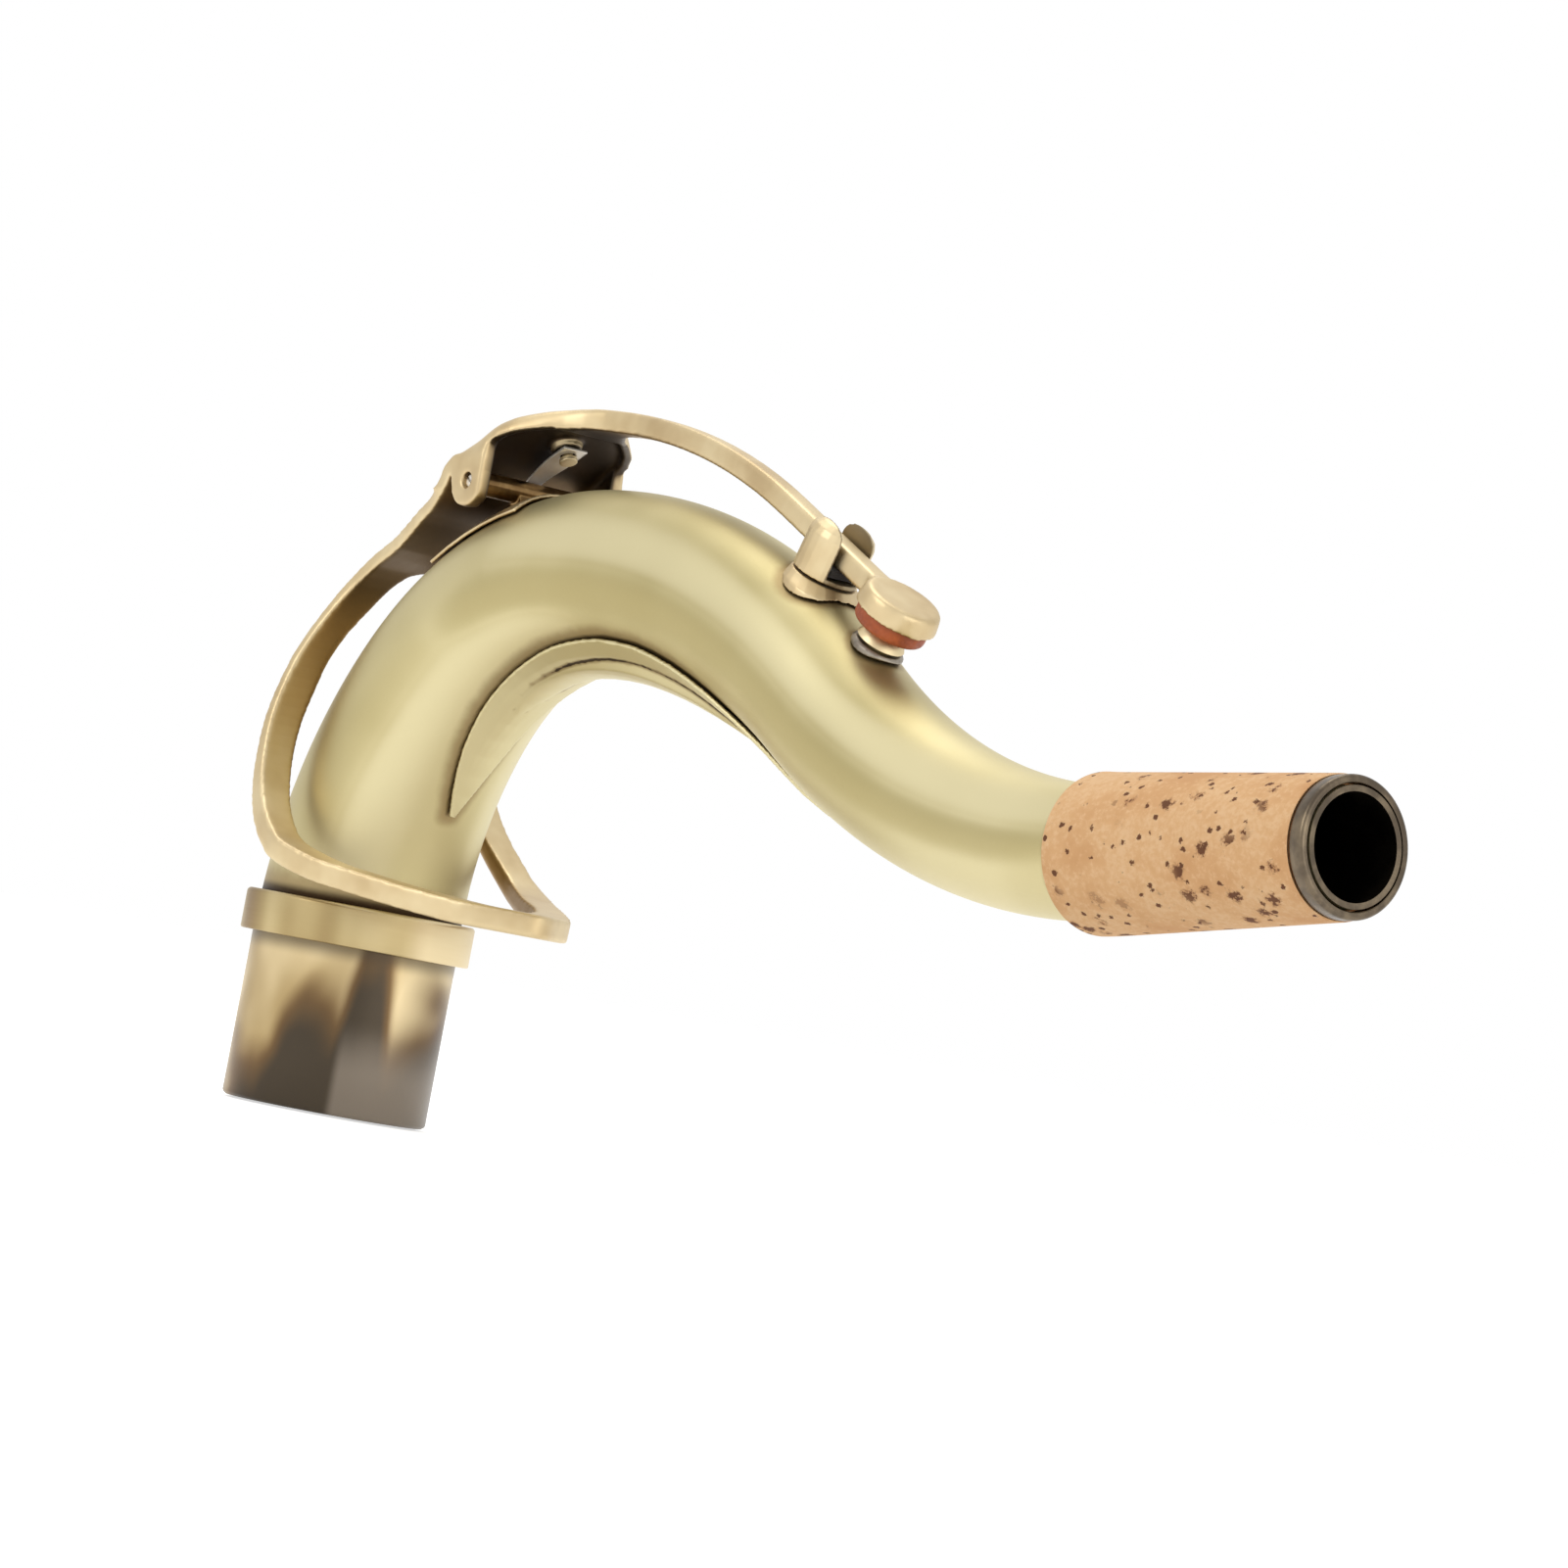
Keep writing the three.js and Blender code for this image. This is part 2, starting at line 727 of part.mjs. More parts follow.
// Sections across the saddle, from the corner at its rear over the crest to the cup.
function saddleSections() {
  const rear = strap.filter(({ point: [, z] }) => z > cornerHeight);
  const line = armTopLine();
  const front = offsetLine(line, -webThickness).map((point, i) => ({
    point,
    out: vector(line[i]).sub(vector(point)).normalize(),
  }));
  return [...rear, ...front.slice(1)].map(({ point, out }) => ({
    origin: vector(point),
    u: sideAxis,
    v: out,
    width: saddleHalfWidth(point[0]),
  }));
}

// The saddle lies inside of this solid, which rounds its shoulders and reaches past its ears.
function saddleEnvelope() {
  const first = strap.find(({ point: [, z] }) => z > cornerHeight);
  const corner = vector(first.point).addScaledVector(first.out, webThickness);
  const behind = (front, top) => block(
    [keyReach, 2 * keyHalfWidth, keyReach],
    [front - half(keyReach), 0, top - half(keyReach)],
  );
  const rounded = loft(saddleSections().map((section) => {
    const share = (section.width - armHalfWidth) / (keyHalfWidth - armHalfWidth);
    const rise = THREE.MathUtils.smoothstep(section.origin.x, hinge.x - earReachBack, hinge.x + flareStart);
    const full = THREE.MathUtils.lerp(edgeRound, shoulderRound, rise);
    const round = THREE.MathUtils.lerp(armRound, full, share);
    return { ...section, outline: archOutline(section.width, -shoulderDepth, webThickness, round) };
  }));
  return join(rounded, behind(first.point[0], corner.z), behind(armStart, cornerHeight));
}

// The hollow under the saddle, which leaves a rim along its edges.
function saddleHollow() {
  const wide = saddleSections().filter(({ width }) => width > rimWidth + armHalfWidth);
  return loft(wide.map((section) => {
    const reach = section.width - rimWidth;
    const outline = [[-reach, -shoulderDepth], [reach, -shoulderDepth], [reach, 0], [-reach, 0]];
    return { ...section, outline };
  }));
}

// One ear from the side, up to the middle of the saddle's thickness.
function earOutline() {
  const rear = hinge.x - earReachBack;
  const front = hinge.x + earReachFront;
  const shoulder = hinge.z + half(earDrop);
  const round = earFilletRadius;
  const across = saddleCentre[0] - front - round;
  const underside = saddleCentre[1] + Math.sqrt((saddleArcRadius - webThickness) ** 2 - across ** 2);
  return [
    [rear, shoulder],
    ...arc([hinge.x, hinge.z], earDrop, earStartAngle, earEndAngle, 6),
    ...arc([front + round, underside - round], round, 180, 90, 4),
    ...arc(saddleCentre, saddleArcRadius - half(webThickness), earTopStartAngle, earTopEndAngle, 6),
  ];
}

// The frame of the spring's seat, under the saddle behind the crest.
const springLean = Math.asin(springSeatRun / saddleArcRadius);
const springFrame = {
  along: new THREE.Vector3(Math.cos(springLean), 0, Math.sin(springLean)),
  away: new THREE.Vector3(-Math.sin(springLean), 0, Math.cos(springLean)),
  origin: vector(saddleCentre),
};
const seatRadius = saddleArcRadius - webThickness - bossHeight;

function onSeat(radius, low, high) {
  return placeOn(springFrame, turned([[0, low], [radius, low], [radius, high], [0, high]], pinSides));
}

function keySaddle() {
  const line = strap.map(({ point }) => point);
  const corner = line.findIndex(([, z]) => z > cornerHeight);
  const rear = line.slice(0, corner + 2).filter(([, z]) => z > splitHeight - shoulderDepth);
  const above = block([keyReach, keyReach, keyReach], [0, 0, splitHeight + half(keyReach)]);
  const back = common(strip(rear, webThickness, -keyHalfWidth, keyHalfWidth), above);
  const rimmed = offsetLine(line.slice(corner), -rimDrop);
  const full = strip(rimmed, webThickness + rimDrop, -keyHalfWidth, keyHalfWidth);
  const web = join(back, cut(full, saddleHollow()));
  const ledgeStart = arc(saddleCentre, saddleArcRadius, crestAngle + ledgeSweepAngle, crestAngle, 4);
  const ledgeLine = [...ledgeStart, ...armTopLine().slice(1)];
  const ledge = strip(ledgeLine, -armThickness, -keyHalfWidth, keyHalfWidth);
  const ears = [-keyHalfWidth, earInner].map((low) => slab(earOutline(), low, low + earThickness));
  const boss = onSeat(bossRadius, seatRadius, seatRadius + bossHeight + half(webThickness));
  const body = common(join(web, between(0, armStart, ledge), ...ears, boss), saddleEnvelope());
  return cut(
    body,
    crossRod(barrelBoreRadius, hinge, 2 * keyHalfWidth),
    onSeat(screwShankRadius + seatGap, half(seatRadius), seatRadius + screwDepth + seatGap),
  );
}

// Pad cup with its pad

const cupInner = padRadius + half(seatGap);
const cupOuter = cupInner + cupWall;
const cupTopRadius = cupOuter - cupFlare - half(cupRound);

// The bill between arm and cup: how far from the cup's centre, in shares of the arm's end run,
// it has each share of its widening.
const billShares = [[0.98, 0], [0.86, 0.1], [0.74, 0.26], [0.6, 0.5], [0.45, 0.74], [0.28, 0.93], [0, 1]];

// The arm widens to the cup like a duck's bill.
function cupBill() {
  const line = armTopLine();
  const back = vector(line.at(-2)).sub(cupCentre).normalize();
  const out = new THREE.Vector3().crossVectors(sideAxis, back);
  return loft(billShares.map(([run, widening]) => {
    const width = THREE.MathUtils.lerp(armHalfWidth, cupTopRadius, widening);
    return {
      origin: cupCentre.clone().addScaledVector(back, run * armEndRun),
      u: sideAxis,
      v: out,
      outline: archOutline(width, -cupTop, 0, armRound),
    };
  }));
}

function padCup() {
  const solid = placeOn(pipFrame, turned([
    [0, cupInnerTop - cupLipDepth],
    [cupOuter, cupInnerTop - cupLipDepth],
    ...arc([cupOuter - cupFlare - cupRound, cupHeight - cupRound], cupRound, 0, 90, 3),
    [0, cupHeight],
  ], roundSides));
  const hollow = placeOn(pipFrame, turned([
    [0, -overrun],
    [cupInner, -overrun],
    [cupInner, cupInnerTop],
    [0, cupInnerTop],
  ], roundSides));
  const bill = between(armEnd, cupCentre.x, join(armBar(), cupBill()));
  return cut(join(solid, bill), hollow);
}

function keyPad() {
  return placeOn(pipFrame, turned([
    [0, padBottom],
    [padRadius - half(seatGap), padBottom],
    [padRadius, padBottom + half(seatGap)],
    [padRadius, padTop],
    [0, padTop],
  ], roundSides));
}

// Octave pip with its stem through the tube's wall, and the flange round it

function octavePip() {
  return placeOn(pipFrame, turned([
    [pipBoreRadius, -pipStemDepth],
    [pipStemRadius, -pipStemDepth],
    [pipStemRadius, pipFlangeHeight + seatGap],
    [pipBottomRadius, pipFlangeHeight + seatGap],
    [pipTopRadius, pipHeight],
    [pipBoreRadius, pipHeight],
  ], roundSides));
}

function pipFlange() {
  const ring = placeOn(pipFrame, turned([
    [pipStemRadius + seatGap, -half(pipFrame.radius)],
    [pipFlangeRadius, -half(pipFrame.radius)],
    [pipFlangeRadius, half(pipFlangeHeight)],
    [pipBottomRadius, pipFlangeHeight],
    [pipStemRadius + seatGap, pipFlangeHeight],
  ], roundSides));
  return cut(ring, groundAt(pipStation, seatGap));
}

// Key guide

const guideFrame = standing(guideStation);
const slotHalfWidth = armHalfWidth + guideSideClearance;
const guideBottom = guideFootHeight + seatGap;
const slotBottom = guideBottom + guideFloor;

// How much of its flare the foot has at each share of its depth.
const guideFlareShares = [[0, 0], [0.14, 0.33], [0.3, 0.75], [1, 1]];

// The foot flares out under the post and forward along the tube.
function guideFoot() {
  const foot = loft(guideFlareShares.map(([depth, flare]) => ({
    origin: guideFrame.origin.clone()
      .addScaledVector(guideFrame.away, THREE.MathUtils.lerp(guideFootHeight, -guideFootDepth, depth))
      .addScaledVector(guideFrame.along, flare * guideFootForward),
    u: guideFrame.along,
    v: sideAxis,
    outline: circle(guideRadius + flare * guideFootFlare, roundSides),
  })));
  return cut(foot, groundAt(guideStation, seatGap));
}

function guidePost() {
  const dome = Array.from({ length: domeSteps }, (_, i) => {
    const angle = (half(Math.PI) * i) / domeSteps;
    return [guideRadius * Math.cos(angle), guideShoulder + guideDome * Math.sin(angle)];
  });
  const post = turned([
    [0, guideBottom],
    [guideRadius, guideBottom],
    ...dome,
    [0, guideShoulder + guideDome],
  ], roundSides);
  const tall = guideShoulder + guideDome;
  const slot = block([keyReach, 2 * slotHalfWidth, tall], [0, 0, slotBottom + half(tall)]);
  return cut(placeOn(guideFrame, post), placeOn(guideFrame, slot));
}

function guideFelt() {
  const felt = placeOn(guideFrame, block(
    [2 * feltHalfLength, 2 * (slotHalfWidth - seatGap), guideShoulder],
    [0, 0, slotBottom + seatGap + half(guideShoulder)],
  ));
  const arm = strip(
    offsetLine(armTopLine(), overrun),
    -(overrun + armThickness + seatGap),
    -keyHalfWidth,
    keyHalfWidth,
  );
  return cut(felt, arm);
}

// Flat spring under the saddle, which bears on the base plate behind the hinge

const springSeat = seatRadius - seatGap;

// The spring's line is its top: flat under the boss, then round behind the barrel.
function springLine() {
  const onFrame = (along, away) => springFrame.origin.clone()
    .addScaledVector(springFrame.along, along)
    .addScaledVector(springFrame.away, away);
  const front = onFrame(springEndMargin, springSeat);
  const rear = onFrame(-springEndMargin, springSeat);
  const outOfCentre = hinge.clone().sub(springFrame.origin);
  const barrelTop = barrelRadius + springClearance + springThickness;
  const pass = hinge.clone().addScaledVector(outOfCentre.normalize(), barrelTop);
  const tipFrame = standing(hingeStation - springTipRun);
  const tip = tipFrame.origin.addScaledVector(tipFrame.away, basePlateTop + springTipGap + springThickness);
  const bow = smooth([rear, pass, tip].map(({ x, z }) => [x, z]), 10);
  return [[front.x, front.z], ...bow];
}

function flatSpring() {
  const line = springLine();
  const under = offsetLine(line, springThickness);
  const leaf = loft(line.map((point, i) => {
    const taper = THREE.MathUtils.smoothstep(i, 1, half(line.length));
    const width = THREE.MathUtils.lerp(springPadHalfWidth, springHalfWidth, taper);
    return {
      origin: vector(point),
      u: sideAxis,
      v: vector(under[i]).sub(vector(point)).normalize(),
      outline: [[-width, 0], [width, 0], [width, springThickness], [-width, springThickness]],
    };
  }));
  return cut(leaf, onSeat(screwShankRadius + seatGap, half(seatRadius), saddleArcRadius));
}

function springScrew() {
  const headTop = springSeat - springThickness - seatGap;
  return placeOn(springFrame, turned([
    [0, headTop - screwHeadHeight],
    [screwHeadRadius, headTop - screwHeadHeight],
    [screwHeadRadius, headTop],
    [screwShankRadius, headTop],
    [screwShankRadius, seatRadius + screwDepth],
    [0, seatRadius + screwDepth],
  ], pinSides));
}

// Materials

const finish = (color, roughness, metalness) => () => new THREE.MeshStandardMaterial({
  color,
  roughness,
  metalness,
});
const satinBrass = finish(0xc8ba7d, 0.35, 0.9);
const antiqueBrass = finish(0xc2a674, 0.4, 0.9);
const agedBrass = finish(0x8f8062, 0.4, 0.9);
const darkBronze = finish(0x5f5648, 0.45, 0.9);
const steel = finish(0xd8d4cc, 0.25, 1);
const cork = finish(0xc98a4e, 0.9, 0);
const padLeather = finish(0xa4522f, 0.6, 0);
const blackFelt = finish(0x181614, 0.95, 0);

const neck = new THREE.Group();
const octaveKey = new THREE.Group();

function add(group, name, shape, material) {
  const mesh = new THREE.Mesh(shape.isBufferGeometry ? shape : toGeometry(shape), material());
  mesh.name = name;
  group.add(mesh);
}

// The neck and everything fixed to it

add(neck, 'neck_tube', neckTube(), satinBrass);
add(neck, 'tenon_sleeve', tenonSleeve(), agedBrass);
add(neck, 'tenon_collar', tenonCollar(), antiqueBrass);
add(neck, 'neck_cork', neckCork(), cork);
add(neck, 'end_ring', endRing(), darkBronze);
add(neck, 'underslung_brace', underslungBrace(), satinBrass);
add(neck, 'pivot_base_plate', pivotBasePlate(), antiqueBrass);
add(neck, 'pivot_barrel', pivotBarrel(), antiqueBrass);
add(neck, 'octave_pip', octavePip(), antiqueBrass);
add(neck, 'pip_flange', pipFlange(), agedBrass);
add(neck, 'guide_foot', guideFoot(), antiqueBrass);
add(neck, 'guide_post', guidePost(), antiqueBrass);
add(neck, 'guide_felt', guideFelt(), blackFelt);

// The octave key, which turns with its rod in the barrel

add(octaveKey, 'key_saddle', keySaddle(), antiqueBrass);
add(octaveKey, 'key_front_arm', keyFrontArm(), antiqueBrass);
add(octaveKey, 'key_loop', keyLoop(), antiqueBrass);
add(octaveKey, 'pivot_rod', pivotRod(), steel);
add(octaveKey, 'pad_cup', padCup(), antiqueBrass);
add(octaveKey, 'key_pad', keyPad(), padLeather);
add(octaveKey, 'flat_spring', flatSpring(), steel);
add(octaveKey, 'spring_screw', springScrew(), darkBronze);

const saxophoneNeck = new THREE.Group();
saxophoneNeck.add(neck, octaveKey);
export default saxophoneNeck;
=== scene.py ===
import math

import bpy
import numpy as np
from mathutils import Matrix, Vector
from mathutils.bvhtree import BVHTree


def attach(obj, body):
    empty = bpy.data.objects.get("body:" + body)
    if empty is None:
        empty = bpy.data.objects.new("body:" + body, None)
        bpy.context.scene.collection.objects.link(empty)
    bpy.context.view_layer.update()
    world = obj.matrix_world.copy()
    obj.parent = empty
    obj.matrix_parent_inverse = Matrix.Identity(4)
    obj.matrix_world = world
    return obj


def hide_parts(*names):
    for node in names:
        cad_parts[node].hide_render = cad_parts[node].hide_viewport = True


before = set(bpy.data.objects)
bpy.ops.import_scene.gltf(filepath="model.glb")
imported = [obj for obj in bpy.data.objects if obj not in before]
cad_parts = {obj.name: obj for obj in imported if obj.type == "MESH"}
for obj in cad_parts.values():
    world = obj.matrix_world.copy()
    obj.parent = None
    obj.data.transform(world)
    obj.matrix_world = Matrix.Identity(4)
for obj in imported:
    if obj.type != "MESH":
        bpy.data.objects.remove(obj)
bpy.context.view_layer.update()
print("stage 1: the packed neck is in place")

mm = 0.001

# centreline
# the bends of the neck, from the tenon to the mouth, in millimetres and degrees
neckLine = {
    "bends": [(0.5, 0), (54.5, -37.05), (43.6, -48.97), (86.6, -35.1), (95.8, 37.75), (39.35, 0)],
    "start": 2.5,
    "baseRadius": 13.64,
    "corkRadius": 7.97,
    "mouthRadius": 6.95,
    "corkStart": 185.1,
}


def bendLength(bend):
    size, turn = bend
    return size * math.radians(abs(turn)) if turn else size


neckLength = sum(bendLength(bend) for bend in neckLine["bends"])
corkStart = neckLine["corkStart"]


def stationAt(s):
    # a point on the centreline, the way on, the way out of the bend, and the tube's radius
    x, z, heading, left = 0.0, neckLine["start"], math.pi / 2, s
    for i, bend in enumerate(neckLine["bends"]):
        last = i + 1 == len(neckLine["bends"])
        step = left if last else min(left, bendLength(bend))
        size, turn = bend
        if turn:
            signed = math.copysign(size, turn)
            end = heading + step / signed
            x += signed * (math.sin(end) - math.sin(heading))
            z += signed * (math.cos(heading) - math.cos(end))
            heading = end
        else:
            x += step * math.cos(heading)
            z += step * math.sin(heading)
        left = max(left - step, 0)
    base, mid, mouth = (neckLine[k] for k in ("baseRadius", "corkRadius", "mouthRadius"))
    if s < corkStart:
        radius = base + (mid - base) * s / corkStart
    else:
        radius = mid + (mouth - mid) * (s - corkStart) / (neckLength - corkStart)
    along = Vector((math.cos(heading), 0, math.sin(heading)))
    away = Vector((-math.sin(heading), 0, math.cos(heading)))
    return Vector((x, 0, z)) * mm, along, away, radius * mm


# the hands: joining, turning, bridging, casting and settling
weldGaps = {"drawn": 1e-6, "cast": 2e-6}
castBuff = 0.5  # how hard each pass of smoothing pulls


def alone(obj):
    bpy.ops.object.select_all(action="DESELECT")
    obj.select_set(True)
    bpy.context.view_layer.objects.active = obj


def finishMesh(obj, smoothAngle=None):
    alone(obj)
    if smoothAngle is None:
        bpy.ops.object.shade_smooth()
    else:
        bpy.ops.object.shade_smooth_by_angle(angle=math.radians(smoothAngle))
    return obj


def applyModifier(obj, kind, **settings):
    alone(obj)
    modifier = obj.modifiers.new(kind.title(), kind)
    for key, value in settings.items():
        setattr(modifier, key, value)
    bpy.ops.object.modifier_apply(modifier=modifier.name)


def tidyShell(obj, distance=weldGaps["drawn"]):
    alone(obj)
    bpy.ops.object.mode_set(mode="EDIT")
    bpy.ops.mesh.select_all(action="SELECT")
    bpy.ops.mesh.remove_doubles(threshold=distance)
    bpy.ops.mesh.normals_make_consistent(inside=False)
    bpy.ops.object.mode_set(mode="OBJECT")


def turnedPiece(name, outline, place=None, steps=96):
    # one vertex is drawn out along the outline, [radius, height] in mm, and spun about Z
    points = [Vector((r, 0, h)) * mm for r, h in outline]
    bpy.ops.object.select_all(action="DESELECT")
    bpy.ops.mesh.primitive_plane_add(size=mm, location=points[0])
    obj = bpy.context.object
    obj.name = obj.data.name = name
    bpy.ops.object.mode_set(mode="EDIT")
    bpy.ops.mesh.select_all(action="SELECT")
    bpy.ops.mesh.merge(type="CENTER")
    for a, b in zip(points, points[1:]):
        bpy.ops.mesh.extrude_region_move(TRANSFORM_OT_translate={"value": b - a})
    bpy.ops.object.mode_set(mode="OBJECT")
    obj.data.transform(obj.matrix_world)
    obj.matrix_world = Matrix.Identity(4)
    bpy.ops.object.mode_set(mode="EDIT")
    bpy.ops.mesh.select_all(action="SELECT")
    bpy.ops.mesh.spin(steps=steps, angle=math.tau, center=(0, 0, 0), axis=(0, 0, 1))
    bpy.ops.object.mode_set(mode="OBJECT")
    tidyShell(obj)
    if place is not None:
        obj.data.transform(place)
        obj.data.update()
    return obj


def ringTube(name, stations, sides):
    # circles standing across the centreline, bridged into a skin
    bpy.ops.object.select_all(action="DESELECT")
    obj = None
    for point, along, radius in stations:
        turn = math.atan2(along.x, along.z)
        bpy.ops.mesh.primitive_circle_add(
            vertices=sides, radius=radius, location=point, rotation=(0, turn, 0))
        if obj is None:
            obj = bpy.context.object
            obj.name = obj.data.name = name
            obj.data.transform(obj.matrix_world)
            obj.matrix_world = Matrix.Identity(4)
            bpy.ops.object.mode_set(mode="EDIT")
    bpy.ops.mesh.select_all(action="SELECT")
    bpy.ops.mesh.bridge_edge_loops()
    bpy.ops.mesh.select_all(action="SELECT")
    bpy.ops.mesh.normals_make_consistent(inside=False)
    bpy.ops.object.mode_set(mode="OBJECT")
    return obj


def castCopy(name, sources, grain, passes):
    # a merged copy of solids, cast as one in fine grain and buffed smooth
    parts = []
    for source in sources:
        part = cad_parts[source].copy()
        part.data = part.data.copy()
        part.parent = None
        for key in list(part.keys()):
            del part[key]
        bpy.context.scene.collection.objects.link(part)
        part.matrix_world = Matrix.Identity(4)
        parts.append(part)
    bpy.ops.object.select_all(action="DESELECT")
    for part in parts:
        part.select_set(True)
    bpy.context.view_layer.objects.active = parts[0]
    if len(parts) > 1:
        bpy.ops.object.join()
    obj = bpy.context.view_layer.objects.active
    obj.name = obj.data.name = name
    tidyShell(obj, weldGaps["cast"])
    applyModifier(obj, "REMESH", mode="VOXEL", voxel_size=grain * mm, use_smooth_shade=True)
    applyModifier(obj, "SMOOTH", factor=castBuff, iterations=passes)
    return finishMesh(obj)


def settle(obj, body, slot, *stoodFor):
    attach(obj, body)
    if stoodFor:
        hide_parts(*stoodFor)
    return obj


def standOn(s):
    # the place on the tube's back at a length s along it
    point, along, away, radius = stationAt(s)
    place = Matrix((
        (along.x, 0, away.x, 0), (0, 1, 0, 0), (along.z, 0, away.z, 0), (0, 0, 0, 1)))
    place.translation = point + away * radius
    return place


# the paint shop
class Wire:
    # a shader value with sums written as on paper
    def __init__(self, shop, socket):
        self.shop, self.socket = shop, socket

    def calc(self, operation, other):
        node = self.shop.tree.nodes.new("ShaderNodeMath")
        node.operation = operation
        self.shop.plug(node.inputs[0], self)
        self.shop.plug(node.inputs[1], other)
        return Wire(self.shop, node.outputs[0])

    def __add__(self, other):
        return self.calc("ADD", other)

    def __sub__(self, other):
        return self.calc("SUBTRACT", other)

    def __mul__(self, other):
        return self.calc("MULTIPLY", other)

    def atMost(self, other):
        return self.calc("MINIMUM", other)

    def over(self, low, high):
        # 0 at low, 1 at high, smooth between
        return self.shop.node(
            "ShaderNodeMapRange", {"Value": self, "From Min": low, "From Max": high},
            interpolation_type="SMOOTHSTEP")


class Paint:
    def __init__(self, name, **fixed):
        self.material = bpy.data.materials.new(name)
        self.material.use_nodes = True
        self.tree = self.material.node_tree
        self.shader = next(n for n in self.tree.nodes if n.type == "BSDF_PRINCIPLED")
        for key, value in fixed.items():
            self.shader.inputs[key.replace("_", " ")].default_value = value

    def plug(self, socket, value):
        if isinstance(value, Wire):
            self.tree.links.new(value.socket, socket)
        elif isinstance(value, (tuple, list)) and len(value) == 3 and socket.type == "RGBA":
            socket.default_value = (*value, 1)
        else:
            socket.default_value = value

    def node(self, kind, inputs=None, out=0, **settings):
        node = self.tree.nodes.new(kind)
        for key, value in settings.items():
            setattr(node, key, value)
        for key, value in (inputs or {}).items():
            self.plug(node.inputs[key], value)
        return Wire(self, node.outputs[out])

    def place(self, stretch=(1, 1, 1)):
        coords = self.node("ShaderNodeTexCoord", out="Object")
        return self.node("ShaderNodeMapping", {"Vector": coords, "Scale": stretch})

    def marked(self, name):
        # a mark painted on the metal, made further down
        return self.node("ShaderNodeAttribute", out="Fac", attribute_name=name)

    def axis(self, at, letter):
        return self.node("ShaderNodeSeparateXYZ", {"Vector": at}, out=letter)

    def noise(self, at, scale, detail, roughness, distortion=0.0):
        return self.node("ShaderNodeTexNoise", {
            "Vector": at, "Scale": scale, "Detail": detail, "Roughness": roughness,
            "Distortion": distortion})

    def blend(self, factor, first, second):
        node = self.tree.nodes.new("ShaderNodeMix")
        node.data_type = "RGBA"
        self.plug(node.inputs[0], factor)
        self.plug(node.inputs[6], first)
        self.plug(node.inputs[7], second)
        return Wire(self, node.outputs[2])

    def coat(self, **wires):
        for key, value in wires.items():
            self.plug(self.shader.inputs[key.replace("_", " ")], value)

    def bump(self, height, strength, distance):
        self.coat(Normal=self.node("ShaderNodeBump", {
            "Height": height, "Strength": strength, "Distance": distance}))


bumpStep = 0.0001  # height of the finest grain, in metres


def dress(obj, *paints):
    obj.data.materials.clear()
    for paint in paints:
        obj.data.materials.append(paint.material)


def linear(red, green, blue):
    # a colour read off a screen, 0 to 255, as light
    return tuple(
        c / 12.92 if c <= 0.04045 else ((c + 0.055) / 1.055) ** 2.4
        for c in (red / 255, green / 255, blue / 255))


# in all the finishes below a noise is given as scale to the metre, detail, roughness and, where
# there is one, distortion; a pair of numbers is where a mask starts and where it is full
satinLook = {
    "body": linear(196, 184, 140), "pale": linear(216, 206, 166), "deep": linear(166, 152, 104),
    "halo": linear(132, 106, 68), "seam": linear(56, 42, 28),
    "cloud": (24, 3, 0.5), "cloudy": (0.3, 0.54), "bright": (0.48, 0.74), "cloudDepth": 0.6,
    "reflectionBright": (0.5, 0.95), "reflectionDark": (0.5, 0.05), "reflectionDepth": 0.75,
    "rag": (420, 3, 0.6), "ragDepth": 0.25, "haloEdge": (0.12, 0.75), "haloDepth": 0.65,
    "seamEdge": (0.72, 0.95), "paleTone": (0.1, 0.9), "wornDepth": 0.7,
    "grain": (2600, 2, 0.6), "roughness": 0.47, "uneven": 0.08, "bump": 0.05,
}


def makeSatinBrass():
    look = satinLook
    paint = Paint("satinBrass", Metallic=1.0)
    at = paint.place()
    cloud = paint.noise(at, *look["cloud"])
    fine = paint.noise(at, *look["grain"])
    depth = look["cloudDepth"]
    colour = paint.blend(cloud.over(*look["cloudy"]) * depth + (1 - depth), look["deep"], look["body"])
    colour = paint.blend(cloud.over(*look["bright"]) * depth, colour, look["pale"])
    # painted reflection: the band mark gives light and dark bands round the tube
    rub = paint.marked("rub")
    colour = paint.blend(rub.over(*look["reflectionBright"]) * look["reflectionDepth"], colour, look["pale"])
    colour = paint.blend(rub.over(*look["reflectionDark"]) * look["reflectionDepth"], colour, look["deep"])
    # painted shade and patina beside each seat, with a dark joint line against it
    near = paint.marked("crease")
    ragged = near + (paint.noise(at, *look["rag"]) - 0.5) * look["ragDepth"]
    colour = paint.blend(ragged.over(*look["haloEdge"]) * look["haloDepth"], colour, look["halo"])
    colour = paint.blend(near.over(*look["seamEdge"]), colour, look["seam"])
    edge = paint.marked("edge").over(*look["paleTone"])
    colour = paint.blend(edge * look["wornDepth"], colour, look["pale"])
    uneven = look["uneven"]
    paint.coat(Base_Color=colour)
    paint.coat(Roughness=fine * uneven + cloud * uneven + look["roughness"] - uneven)
    paint.bump(fine, look["bump"], bumpStep)
    return paint


antiqueLook = {
    "body": linear(201, 180, 140), "paleTone": linear(222, 206, 168), "brown": linear(156, 126, 84),
    "shade": linear(68, 58, 48), "shadeAndPatina": linear(40, 30, 22),
    "patch": (90, 3, 0.6), "bright": (0.42, 0.7), "brightDepth": 0.6,
    "dull": (0.5, 0.3), "dullDepth": 0.3,
    "inward": (0.05, 0.8), "ragDepth": 0.3, "deep": (0.2, 0.9),
    "crease": (0.15, 0.9), "edge": (0.15, 0.9), "edgeDepth": 0.8,
    "brush": (900, 2, 0.6), "brushStretch": (0.25, 1, 1),
    "roughness": 0.45, "uneven": 0.1, "bump": 0.06,
}


